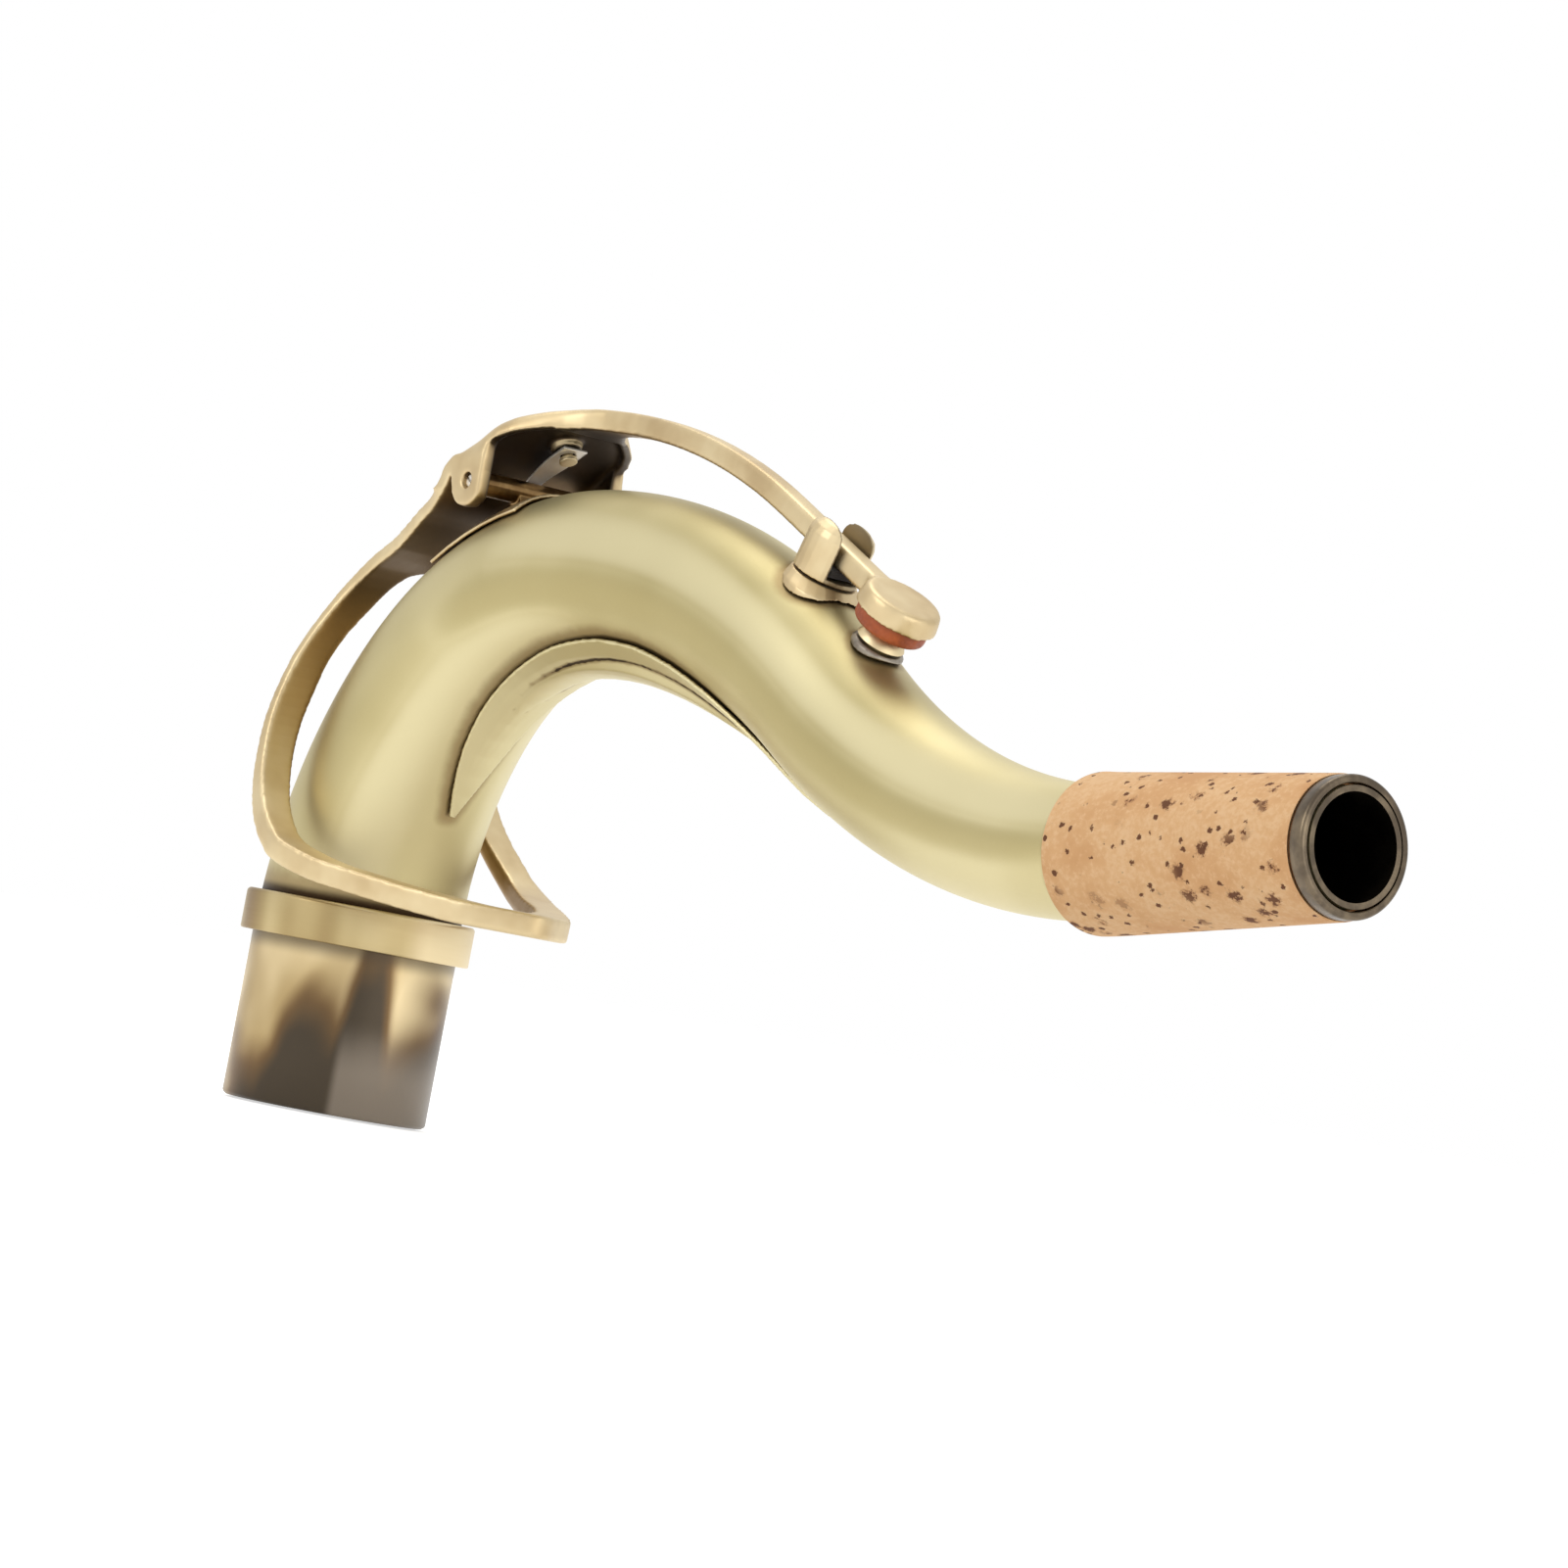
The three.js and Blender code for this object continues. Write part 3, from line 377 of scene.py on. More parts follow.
def makeAntiqueBrass():
    look = antiqueLook
    paint = Paint("antiqueBrass", Metallic=1.0)
    patch = paint.noise(paint.place(), *look["patch"])
    brush = paint.noise(paint.place(look["brushStretch"]), *look["brush"])
    colour = paint.blend(patch.over(*look["bright"]) * look["brightDepth"], look["body"], look["paleTone"])
    colour = paint.blend(patch.over(*look["dull"]) * look["dullDepth"], colour, look["brown"])
    # painted shade: brown on faces turned back to the tube
    ragged = paint.marked("inward") + patch * look["ragDepth"] - look["ragDepth"] / 2
    colour = paint.blend(ragged.over(*look["inward"]), colour, look["brown"])
    colour = paint.blend(paint.marked("deep").over(*look["deep"]), colour, look["shade"])
    crease, edge = (paint.marked(name).over(*look[name]) for name in ("crease", "edge"))
    # painted shade and patina in inward creases
    colour = paint.blend(crease * look["edgeDepth"], colour, look["shadeAndPatina"])
    colour = paint.blend(edge * look["edgeDepth"], colour, look["paleTone"])
    uneven = look["uneven"]
    paint.coat(Base_Color=colour)
    paint.coat(Roughness=brush * uneven + patch * uneven + look["roughness"] - uneven)
    paint.bump(brush, look["bump"], bumpStep)
    return paint


# the way towards the camera, turned from the front to the player's left; the painted reflection on
# tenon and collar is laid out from it
towardsCamera = {"along": 0.8, "across": 0.6}


def cameraAxes(paint, at):
    # how far round to the side, seen from the camera, and how far towards the camera
    forward, sideways = paint.axis(at, "X"), paint.axis(at, "Y")
    across = forward * towardsCamera["across"] + sideways * towardsCamera["along"]
    ahead = forward * towardsCamera["along"] - sideways * towardsCamera["across"]
    return across, ahead


collarLook = {
    "body": linear(178, 159, 114), "pale": linear(216, 199, 158), "deep": linear(132, 107, 70),
    "paleTone": linear(220, 202, 162),
    "patch": (70, 2, 0.5), "patchStretch": (1, 1, 0.3), "cloudy": (0.3, 0.6), "bright": (0.48, 0.74),
    "reflectionBright": (0.0065, 0.0105),
    "lines": (2400, 2, 0.6), "lineStretch": (0.05, 0.05, 1),
    "roughness": 0.36, "uneven": 0.12, "bump": 0.08,
}


def makeCollarBrass():
    look = collarLook
    paint = Paint("collarBrass", Metallic=1.0)
    across, ahead = cameraAxes(paint, paint.place())
    patch = paint.noise(paint.place(look["patchStretch"]), *look["patch"])
    lines = paint.noise(paint.place(look["lineStretch"]), *look["lines"])
    colour = paint.blend(patch.over(*look["cloudy"]), look["deep"], look["body"])
    colour = paint.blend(patch.over(*look["bright"]), colour, look["pale"])
    # painted reflection: paler on one side as seen from the camera
    colour = paint.blend(across.over(*look["reflectionBright"]), colour, look["paleTone"])
    paint.coat(Base_Color=colour, Roughness=lines * look["uneven"] + look["roughness"])
    paint.bump(lines, look["bump"], bumpStep)
    return paint


# heights and widths in metres
tenonLook = {
    "gold": linear(172, 149, 106), "pale": linear(218, 198, 156), "brown": linear(112, 88, 60),
    "dark": linear(72, 64, 54), "ash": linear(132, 122, 110),
    "front": (-0.006, 0.004), "columnLeft": (0.0, 0.003), "columnRight": (0.008, 0.0048),
    "brightSide": (-0.004, -0.010), "reflectionBright": (0.006, 0.0095),
    "blot": (62, 2, 0.45, 0.3), "blotStretch": (1, 1, 0.7), "bright": (0.42, 0.66),
    "slope": 120, "blotDepth": 4.2, "level": 1.15, "columnDepth": 1.5, "brightSideDepth": 1.3,
    "brownEdge": (-0.25, 0.8), "darkEdge": (-0.95, 0.2),
    "ashHeight": (-0.009, -0.017), "ashSide": (0.0005, 0.002), "ashDepth": 0.75,
    "shadow": (-0.0025, -0.0002), "shadowDepth": 0.7,
    "grain": (2600, 2, 0.6), "roughness": 0.32, "uneven": 0.08, "bump": 0.04,
}


def makeTenonBrass():
    look = tenonLook
    paint = Paint("tenonBrass", Metallic=1.0)
    at = paint.place()
    height = paint.axis(at, "Z")
    across, ahead = cameraAxes(paint, at)
    # painted reflection, laid out from the way to the camera: a darker column facing it, a paler side
    # and a pale stripe
    front = ahead.over(*look["front"])
    reflectionColumn = across.over(*look["columnLeft"]) * across.over(*look["columnRight"]) * front
    brightSide = across.over(*look["brightSide"])
    blot = paint.noise(paint.place(look["blotStretch"]), *look["blot"])
    fine = paint.noise(at, *look["grain"])
    # handling has blackened the lower half, with a soft uneven border; the darker column facing the
    # camera and the paler side are painted reflection
    level = height * look["slope"] + (blot - 0.5) * look["blotDepth"] + look["level"]
    level = level - reflectionColumn * look["columnDepth"] + brightSide * look["brightSideDepth"]
    reflectionBright = blot.over(*look["bright"]) + across.over(*look["reflectionBright"]) * front
    bright = paint.blend(reflectionBright.atMost(1.0), look["gold"], look["pale"])
    colour = paint.blend(level.over(*look["brownEdge"]), look["brown"], bright)
    colour = paint.blend(level.over(*look["darkEdge"]), look["dark"], colour)
    low = height.over(*look["ashHeight"]) * across.over(*look["ashSide"]) * front
    colour = paint.blend(low * look["ashDepth"], colour, look["ash"])
    colour = paint.blend(height.over(*look["shadow"]) * look["shadowDepth"], colour, look["dark"])
    paint.coat(Base_Color=colour, Roughness=fine * look["uneven"] + look["roughness"])
    paint.bump(fine, look["bump"], bumpStep)
    return paint


# two tones, roughness, how metallic
plainLooks = {
    "ringBronze": (linear(88, 78, 66), linear(126, 112, 92), 0.34, 1.0),
    # painted shade: the tube's inside is painted near black
    "shadedBore": (linear(26, 22, 18), linear(46, 40, 32), 0.5, 1.0),
    "barrelBronze": (linear(122, 96, 62), linear(178, 148, 100), 0.3, 1.0),
    "springSteel": (linear(222, 216, 206), linear(240, 236, 228), 0.3, 0.6),
    "flangeNickel": (linear(122, 113, 102), linear(164, 156, 142), 0.36, 1.0),
}
plainGrain = {
    "patch": (220, 4, 0.6), "bright": (0.4, 0.72), "fine": (3000, 2, 0.6),
    "speck": 0.12, "uneven": 0.1, "bump": 0.06,
}


def makePlainMetal(name):
    look = plainGrain
    body, paleTone, roughness, metal = plainLooks[name]
    paint = Paint(name, Metallic=metal)
    at = paint.place()
    patch = paint.noise(at, *look["patch"])
    fine = paint.noise(at, *look["fine"])
    paint.coat(Base_Color=paint.blend(patch.over(*look["bright"]), body, paleTone))
    paint.coat(Roughness=fine * look["speck"] + patch * look["uneven"] + roughness - look["uneven"])
    paint.bump(fine, look["bump"], bumpStep)
    return paint


corkLook = {
    "body": linear(226, 178, 126), "pale": linear(234, 192, 144), "dark": linear(214, 162, 110),
    "fleck": linear(104, 62, 32), "rim": linear(156, 102, 60), "roughness": 0.85,
    "stretch": (0.85, 1, 1), "cloud": (110, 4, 0.6), "cloudy": (0.32, 0.56),
    "grain": (1500, 3, 0.7), "bright": (0.45, 0.62),
    "rag": (1300, 4, 0.75), "ragDepth": 0.9, "region": (80, 2, 0.5), "regionEdge": (0.38, 0.54),
    # cells to the metre, reach of the mark in its cell, share of cells left bare
    "flecks": (330, 0.2592, 0.42), "pores": (620, 0.2304, 0.5), "bare": 0.06,
    "markEdge": (0.0, 0.05), "haloEdge": (-0.12, 0.02), "haloDepth": 0.6,
    "grainPit": 0.4, "porePit": 0.7, "bump": 0.5, "pit": 0.0002,
}


def corkCells(paint, at, rag, scale, reach, keep):
    # ragged shapes in some of the cells, and which cells have one
    cells, chosen = (paint.node("ShaderNodeTexVoronoi", {
        "Vector": at, "Scale": scale, "Randomness": 1.0}, out=out) for out in ("Distance", "Color"))
    pick = paint.node("ShaderNodeSeparateColor", {"Color": chosen}, out=0)
    shape = cells * -1.0 + (rag - 0.5) * corkLook["ragDepth"] + reach
    return shape, pick.over(keep, keep + corkLook["bare"])


def makeCork():
    look = corkLook
    paint = Paint("naturalCork", Roughness=look["roughness"])
    at = paint.place(look["stretch"])
    cloud = paint.noise(at, *look["cloud"])
    grain = paint.noise(at, *look["grain"])
    colour = paint.blend(cloud.over(*look["cloudy"]), look["dark"], look["body"])
    colour = paint.blend((grain * 0.5 + cloud * 0.5).over(*look["bright"]), colour, look["pale"])
    rag = paint.noise(at, *look["rag"])
    region = paint.noise(at, *look["region"]).over(*look["regionEdge"])
    flecks, fleckCells = corkCells(paint, at, rag, *look["flecks"])
    pores, poreCells = corkCells(paint, at, rag, *look["pores"])
    fleck = flecks.over(*look["markEdge"]) * fleckCells * region
    halo = flecks.over(*look["haloEdge"]) * fleckCells * region
    dot = pores.over(*look["markEdge"]) * poreCells
    colour = paint.blend(halo * look["haloDepth"], colour, look["rim"])
    colour = paint.blend((fleck + dot).atMost(1.0), colour, look["fleck"])
    paint.coat(Base_Color=colour)
    paint.bump(grain * look["grainPit"] - fleck - dot * look["porePit"], look["bump"], look["pit"])
    return paint


padLook = {
    "skin": linear(188, 94, 44), "deep": linear(148, 68, 30),
    "tone": (300, 3, 0.6), "toneEdge": (0.35, 0.7), "pores": 2200.0,
    "roughness": 0.42, "uneven": 0.2, "bump": 0.3,
}


def makePadSkin():
    look = padLook
    paint = Paint("padSkin")
    at = paint.place()
    cells = paint.node("ShaderNodeTexVoronoi", {"Vector": at, "Scale": look["pores"]}, out="Distance")
    tone = paint.noise(at, *look["tone"])
    paint.coat(Base_Color=paint.blend(tone.over(*look["toneEdge"]), look["deep"], look["skin"]))
    paint.coat(Roughness=cells * look["uneven"] + look["roughness"])
    paint.bump(cells, look["bump"], bumpStep)
    return paint


feltLook = {
    "black": linear(16, 14, 12), "grey": linear(52, 46, 42), "fuzz": (3500, 3, 0.8), "roughness": 0.95,
    "sheen": 0.4, "bump": 0.6, "pile": 0.0002,
}


def makeFelt():
    look = feltLook
    paint = Paint("blackFelt", Roughness=look["roughness"], Sheen_Weight=look["sheen"])
    fuzz = paint.noise(paint.place(), *look["fuzz"])
    paint.coat(Base_Color=paint.blend(fuzz, look["black"], look["grey"]))
    paint.bump(fuzz, look["bump"], look["pile"])
    return paint


satinBrass = makeSatinBrass()
antiqueBrass = makeAntiqueBrass()
collarBrass = makeCollarBrass()
tenonBrass = makeTenonBrass()
ringBronze = makePlainMetal("ringBronze")
shadedBore = makePlainMetal("shadedBore")
barrelBronze = makePlainMetal("barrelBronze")
springSteel = makePlainMetal("springSteel")
flangeNickel = makePlainMetal("flangeNickel")
cork = makeCork()
padSkin = makePadSkin()
felt = makeFelt()
print("stage 2: finishes are mixed")


# marks on the metal
lineSteps = 240
lineSamples = [stationAt(neckLength * i / lineSteps) for i in range(lineSteps + 1)]
linePoints = np.array([list(point) for point, *rest in lineSamples])
lineAways = np.array([list(away) for point, along, away, radius in lineSamples])
batchSize = 4000  # vertices measured at once


def readVectors(obj):
    count = len(obj.data.vertices)
    spots, normals = np.zeros(count * 3), np.zeros(count * 3)
    obj.data.vertices.foreach_get("co", spots)
    obj.data.vertices.foreach_get("normal", normals)
    return spots.reshape(-1, 3), normals.reshape(-1, 3)


def mark(obj, name, values):
    layer = obj.data.attributes.new(name, "FLOAT", "POINT")
    layer.data.foreach_set("value", np.clip(values, 0, 1).astype(np.float32))


def nearestSamples(spots):
    # which sample of the centreline lies nearest to each spot
    nearest = np.empty(len(spots), int)
    for start in range(0, len(spots), batchSize):
        batch = spots[start:start + batchSize]
        gaps = ((batch[:, None, :] - linePoints[None]) ** 2).sum(2)
        nearest[start:start + batchSize] = gaps.argmin(1)
    return nearest


def markInward(obj):
    # how squarely the metal looks back at the tube
    spots, normals = readVectors(obj)
    out = spots - linePoints[nearestSamples(spots)]
    out /= np.linalg.norm(out, axis=1)[:, None]
    facing = -(out * normals).sum(1)
    mark(obj, "inward", facing)
    return spots, facing


creaseGap = 0.3  # seats stand this far off the tube, in millimetres


def markCrease(obj, seats):
    # the mark for painted shade and patina: full strength against a neighbouring piece, 0 at the reach
    # from it
    spots, normals = readVectors(obj)
    nearness = np.zeros(len(spots))
    for name, (reach, strength) in seats.items():
        tree = BVHTree.FromObject(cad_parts[name], bpy.context.evaluated_depsgraph_get())
        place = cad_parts[name].matrix_world.inverted()
        for i, spot in enumerate(spots):
            hit = tree.find_nearest(place @ Vector(spot), reach * mm)
            if hit[3] is not None:
                near = 1 - max(hit[3] / mm - creaseGap, 0) / (reach - creaseGap)
                nearness[i] = max(nearness[i], near * strength)
    mark(obj, "crease", nearness)


def markBends(obj, spread, wear, shadeAndPatina):
    # outward edges get worn and inward ones get painted shade and patina
    spots, normals = readVectors(obj)
    links = np.zeros(len(obj.data.edges) * 2, int)
    obj.data.edges.foreach_get("vertices", links)
    a, b = links.reshape(-1, 2).T
    count = np.maximum(np.bincount(a, minlength=len(spots)) + np.bincount(b, minlength=len(spots)), 1)

    def average(values):
        total = np.bincount(a, values[b], len(spots)) + np.bincount(b, values[a], len(spots))
        return total / count

    middle = np.stack([average(spots[:, k]) for k in range(3)], axis=1)
    bend = ((spots - middle) * normals).sum(1) / mm
    for i in range(spread):
        bend = average(bend)
    mark(obj, "edge", bend * wear)
    mark(obj, "crease", -bend * shadeAndPatina)


# tube
tube = {"rings": 250, "sides": 144, "wall": 0.7, "smooth": 40}
# how far the painted shade and patina beside each seat reach, in millimetres, and how strong they are
tubeSeats = {
    "underslung_brace": (2.6, 0.84), "pivot_base_plate": (2.2, 0.6), "guide_foot": (2.0, 0.74),
    "pip_flange": (1.4, 0.66), "tenon_collar": (5.5, 1.0), "neck_cork": (2.2, 0.9),
}
# painted reflection bands, light and dark round the tube: along the neck from and to in
# millimetres, angle from the top at both ends in degrees, tone, width in degrees
reflectionBands = [
    (60, 190, 76, 62, 1.0, 15), (48, 190, 106, 90, 0.0, 13), (2, 80, 136, 140, 1.0, 14),
    (2, 50, 102, 110, 0.25, 12), (98, 150, 34, 28, 0.35, 15),
]
plainBand = {"tone": 0.5, "weight": 0.2, "fade": 16}


# marks the painted reflection bands round the tube
def markReflectionBands(obj):
    spots, normals = readVectors(obj)
    nearest = nearestSamples(spots)
    out = spots - linePoints[nearest]
    angle = np.degrees(np.arctan2(np.abs(out[:, 1]), (out * lineAways[nearest]).sum(1)))
    run = nearest * neckLength / lineSteps
    weight = np.full(len(spots), plainBand["weight"])
    total = weight * plainBand["tone"]
    for begin, stop, first, last, level, wide in reflectionBands:
        turn = np.interp(run, (begin, stop), (first, last))
        pull = np.exp(-((angle - turn) / wide) ** 2)
        pull *= np.clip((run - begin) / plainBand["fade"], 0, 1)
        pull *= np.clip((stop - run) / plainBand["fade"], 0, 1)
        total += pull * level
        weight += pull
    mark(obj, "rub", total / weight)


def makeTube():
    stations = []
    for i in range(tube["rings"] + 1):
        point, along, away, radius = stationAt(neckLength * i / tube["rings"])
        stations.append((point, along, radius))
    obj = ringTube("satinTube", stations, tube["sides"])
    markCrease(obj, tubeSeats)
    markReflectionBands(obj)
    dress(obj, satinBrass, shadedBore, ringBronze)
    applyModifier(
        obj, "SOLIDIFY", thickness=tube["wall"] * mm, offset=-1, material_offset=1,
        material_offset_rim=2)
    finishMesh(obj, tube["smooth"])
    return settle(obj, "neck", "satin_brass", "neck_tube")


makeTube()
print("stage 3: the tube is drawn")

# tenon, collar, ring, cork
tenon = {
    "radius": 13.75, "wall": 0.9, "length": 22.2, "top": 2.5, "chamfer": 0.5, "lip": 0.15,
    "slope": 0.25, "outerRings": (-12, -2), "innerRing": -10,
}
turning = {"steps": 128, "smooth": 35}


def makeTenon():
    r, inner, c = tenon["radius"], tenon["radius"] - tenon["wall"], tenon["chamfer"]
    low, top, lip, slope = -tenon["length"], tenon["top"], tenon["lip"], tenon["slope"]
    outline = [
        (inner, low + lip), (inner + lip, low), (r - c, low), (r - lip, low + slope), (r, low + c),
        *((r, ring) for ring in tenon["outerRings"]), (r, top), (inner, top),
        (inner, tenon["innerRing"]), (inner, low + lip),
    ]
    obj = turnedPiece("handledTenon", outline, steps=turning["steps"])
    dress(obj, tenonBrass)
    finishMesh(obj, turning["smooth"])
    return settle(obj, "neck", "aged_brass", "tenon_sleeve")


def arcPoints(cx, cz, radius, start, stop, steps):
    for i in range(steps + 1):
        angle = math.radians(start + (stop - start) * i / steps)
        yield cx + radius * math.cos(angle), cz + radius * math.sin(angle)


collar = {
    "radius": 15.45, "inner": 14.05, "height": 5.5, "round": 0.55, "roundRows": 5,
    "foot": 0.25, "footRows": 3,
}


def makeCollar():
    r, h, soft, foot = collar["radius"], collar["height"], collar["round"], collar["foot"]
    outline = [
        (collar["inner"], 0), *arcPoints(r - foot, foot, foot, -90, 0, collar["footRows"]),
        *arcPoints(r - soft, h - soft, soft, 0, 90, collar["roundRows"]),
        (collar["inner"], h), (collar["inner"], 0),
    ]
    obj = turnedPiece("seatCollar", outline, steps=turning["steps"])
    dress(obj, collarBrass)
    finishMesh(obj, turning["smooth"])
    return settle(obj, "neck", "antique_brass", "tenon_collar")


mouthRing = {
    "radius": 8.2, "inner": 7.25, "length": 2.0, "round": 0.5, "roundRows": 6,
    "rear": 0.15, "rearRows": 2, "lip": 0.1,
}


def crossPlace(s):
    # Z runs along the centreline here
    point, along, away, radius = stationAt(s)
    place = Matrix((
        (away.x, 0, along.x, 0), (0, -1, 0, 0), (away.z, 0, along.z, 0), (0, 0, 0, 1)))
    place.translation = point
    return place


def makeRing():
    r, inner, soft, lip = (mouthRing[key] for key in ("radius", "inner", "round", "lip"))
    back, rear = -mouthRing["length"], mouthRing["rear"]
    outline = [
        (inner, back), *arcPoints(r - rear, back + rear, rear, -90, 0, mouthRing["rearRows"]),
        *arcPoints(r - soft, -soft, soft, 0, 90, mouthRing["roundRows"]), (inner + lip, 0),
        (inner, -lip), (inner, back),
    ]
    obj = turnedPiece("mouthRing", outline, crossPlace(neckLength))
    dress(obj, ringBronze)
    finishMesh(obj, turning["smooth"])
    return settle(obj, "neck", "dark_bronze", "end_ring")


corkSleeve = {
    "thick": 9.6, "thin": 8.35, "round": 0.8, "roundRows": 6, "gap": 0.3, "wall": 1.25, "step": 0.6,
    "start": 0.02, "chamferRise": 0.12, "chamferRun": 0.15, "sides": 144, "smooth": 50,
}


def makeCorkSleeve():
    start, soft, count = corkStart, corkSleeve["round"], corkSleeve["roundRows"]
    thick, thin = corkSleeve["thick"], corkSleeve["thin"]
    end = neckLength - mouthRing["length"] - corkSleeve["gap"]
    rows = [(start + soft - soft * math.cos(a), thick - soft + soft * math.sin(a))
            for a in (math.radians(90 / count * i) for i in range(count + 1))]
    rows[0] = (start + corkSleeve["start"], rows[0][1])
    count = round((end - start - soft) / corkSleeve["step"])
    for i in range(1, count + 1):
        share = i / count
        rows.append((start + soft + share * (end - start - soft), thick + share * (thin - thick)))
    rows[-1] = (end, thin - corkSleeve["chamferRise"])
    rows.insert(-1, (end - corkSleeve["chamferRun"], thin))
    stations = []
    for s, radius in rows:
        point, along, *rest = stationAt(s)
        stations.append((point, along, radius * mm))
    obj = ringTube("corkSleeve", stations, corkSleeve["sides"])
    dress(obj, cork)
    applyModifier(obj, "SOLIDIFY", thickness=corkSleeve["wall"] * mm, offset=-1)
    finishMesh(obj, corkSleeve["smooth"])
    return settle(obj, "neck", "cork", "neck_cork")


makeTenon()
makeCollar()
makeRing()
makeCorkSleeve()
print("stage 4: tenon, collar, ring and cork are turned")

# brace and small seats
brace = {"grain": 0.22, "passes": 4, "rub": 0.8, "spread": 3, "wear": 18, "shadeAndPatina": 220}


def makeBrace():
    obj = castCopy("pressedBrace", ["underslung_brace"], brace["grain"], brace["passes"])
    markBends(obj, brace["spread"], brace["wear"], brace["shadeAndPatina"])
    # the brace gets one even level of the painted reflection band mark, which makes it paler
    mark(obj, "rub", np.full(len(obj.data.vertices), brace["rub"]))
    dress(obj, satinBrass)
    return settle(obj, "neck", "satin_brass", "underslung_brace")


seatEdges = {"spread": 3, "wear": 20, "shadeAndPatina": 20}
# name, the solid it is cast from, finish, slot, grain in millimetres, passes
seats = [
    ("hingePlate", "pivot_base_plate", antiqueBrass, "antique_brass", 0.16, 3),
    ("hingeBarrel", "pivot_barrel", barrelBronze, "dark_bronze", 0.12, 4),
    ("guideFoot", "guide_foot", antiqueBrass, "antique_brass", 0.12, 6),
    ("guideCup", "guide_post", antiqueBrass, "antique_brass", 0.12, 4),
    ("guideCushion", "guide_felt", felt, "black_felt", 0.12, 4),
]


def makeSeat(name, source, paint, slot, grain, passes):
    obj = castCopy(name, [source], grain, passes)
    markInward(obj)
    markBends(obj, seatEdges["spread"], seatEdges["wear"], seatEdges["shadeAndPatina"])
    dress(obj, paint)
    return settle(obj, "neck", slot, source)


# painted shade inside the guide's slot: within this reach of the middle, in millimetres, and its
# strength
guideSlot = {"reach": 2.6, "shadeAndPatina": 0.6}


def shadeSlot(obj):
    spots, normals = readVectors(obj)
    mark(obj, "deep", (np.abs(spots[:, 1]) < guideSlot["reach"] * mm) * guideSlot["shadeAndPatina"])


makeBrace()
cast = {row[0]: makeSeat(*row) for row in seats}
shadeSlot(cast["guideCup"])
print("stage 5: brace, hinge seat and guide are cast")

# octave vent
vent = {
    "station": 128.7, "height": 2.6, "bottom": 3.2, "top": 2.5, "stem": 1.8, "depth": 4.0, "bore": 0.9,
    "foot": 1.05, "chamfer": 0.15, "rim": 0.1, "steps": 64,
}
ventFlange = ("ventFlange", "pip_flange", flangeNickel, "aged_brass", 0.1, 3)


def makeVent():
    low, high, depth = vent["foot"], vent["height"], -vent["depth"]
    bore, stem, bottom, top = (vent[key] for key in ("bore", "stem", "bottom", "top"))
    chamfer, rim = vent["chamfer"], vent["rim"]
    outline = [
        (bore, depth), (stem, depth), (stem, low), (bottom - chamfer, low), (bottom, low + chamfer),
        (top + rim, high - chamfer), (top - rim, high),
        (bore + chamfer, high), (bore, high - chamfer), (bore, depth),
    ]
    pip = turnedPiece("ventPip", outline, standOn(vent["station"]), vent["steps"])
    dress(pip, collarBrass)
    finishMesh(pip, turning["smooth"])
    settle(pip, "neck", "antique_brass", "octave_pip")
    makeSeat(*ventFlange)


makeVent()

# octave key
key = {
    "solids": ("key_saddle", "key_front_arm", "pad_cup", "key_loop"), "grain": 0.25, "passes": 20,
    "spread": 4, "wear": 22, "shadeAndPatina": 22,
}
# where the key is darkest: round the cradle under the saddle, and up the strap, in millimetres
keyShade = {
    "cradle": (30, 67), "reach": 14, "centre": 1.3,
    "strapFrom": 36, "strapRun": 18, "strapShade": 0.65, "strapFront": 34, "turn": 1.6,
}


def makeKey():
    obj = castCopy("octaveLever", key["solids"], key["grain"], key["passes"])
    spots, facing = markInward(obj)
    away = np.linalg.norm(spots[:, [0, 2]] - np.array(keyShade["cradle"]) * mm, axis=1)
    cradle = np.clip(keyShade["centre"] - away / (keyShade["reach"] * mm), 0, 1)
    climb = (spots[:, 2] / mm - keyShade["strapFrom"]) / keyShade["strapRun"]
    strap = np.clip(climb, 0, keyShade["strapShade"]) * (spots[:, 0] < keyShade["strapFront"] * mm)
    mark(obj, "deep", np.maximum(cradle, strap) * np.clip(facing * keyShade["turn"], 0, 1))
    markBends(obj, key["spread"], key["wear"], key["shadeAndPatina"])
    dress(obj, antiqueBrass)
    return settle(obj, "octave_key", "antique_brass", *key["solids"])


rod = {
    "radius": 0.95, "reach": 10.8, "hinge": (22.4621, 62.7339), "chamfer": 0.2,
    "steps": 48, "smooth": 30, "slot": (3, 0.7, 0.35), "slotTurn": 30,
}


def makeRod():
    x, z = rod["hinge"]
    place = Matrix.Translation((x * mm, 0, z * mm)) @ Matrix.Rotation(math.radians(-90), 4, "X")
    r, reach, c = rod["radius"], rod["reach"], rod["chamfer"]
    outline = [
        (0, -reach), (r - c, -reach), (r, -reach + c), (r, reach - c), (r - c, reach), (0, reach),
    ]
    obj = turnedPiece("hingeRod", outline, place, rod["steps"])
    bpy.ops.object.select_all(action="DESELECT")
    bpy.ops.mesh.primitive_cube_add(size=1, location=(x * mm, -reach * mm, z * mm))
    cutter = bpy.context.object
    cutter.scale = Vector(rod["slot"]) * mm
    cutter.rotation_euler = (0, math.radians(rod["slotTurn"]), 0)
    bpy.ops.object.transform_apply(location=True, rotation=True, scale=True)
    applyModifier(obj, "BOOLEAN", object=cutter, operation="DIFFERENCE", solver="EXACT")
    bpy.data.objects.remove(cutter)
    dress(obj, springSteel)
    finishMesh(obj, rod["smooth"])
    return settle(obj, "octave_key", "steel", "pivot_rod")


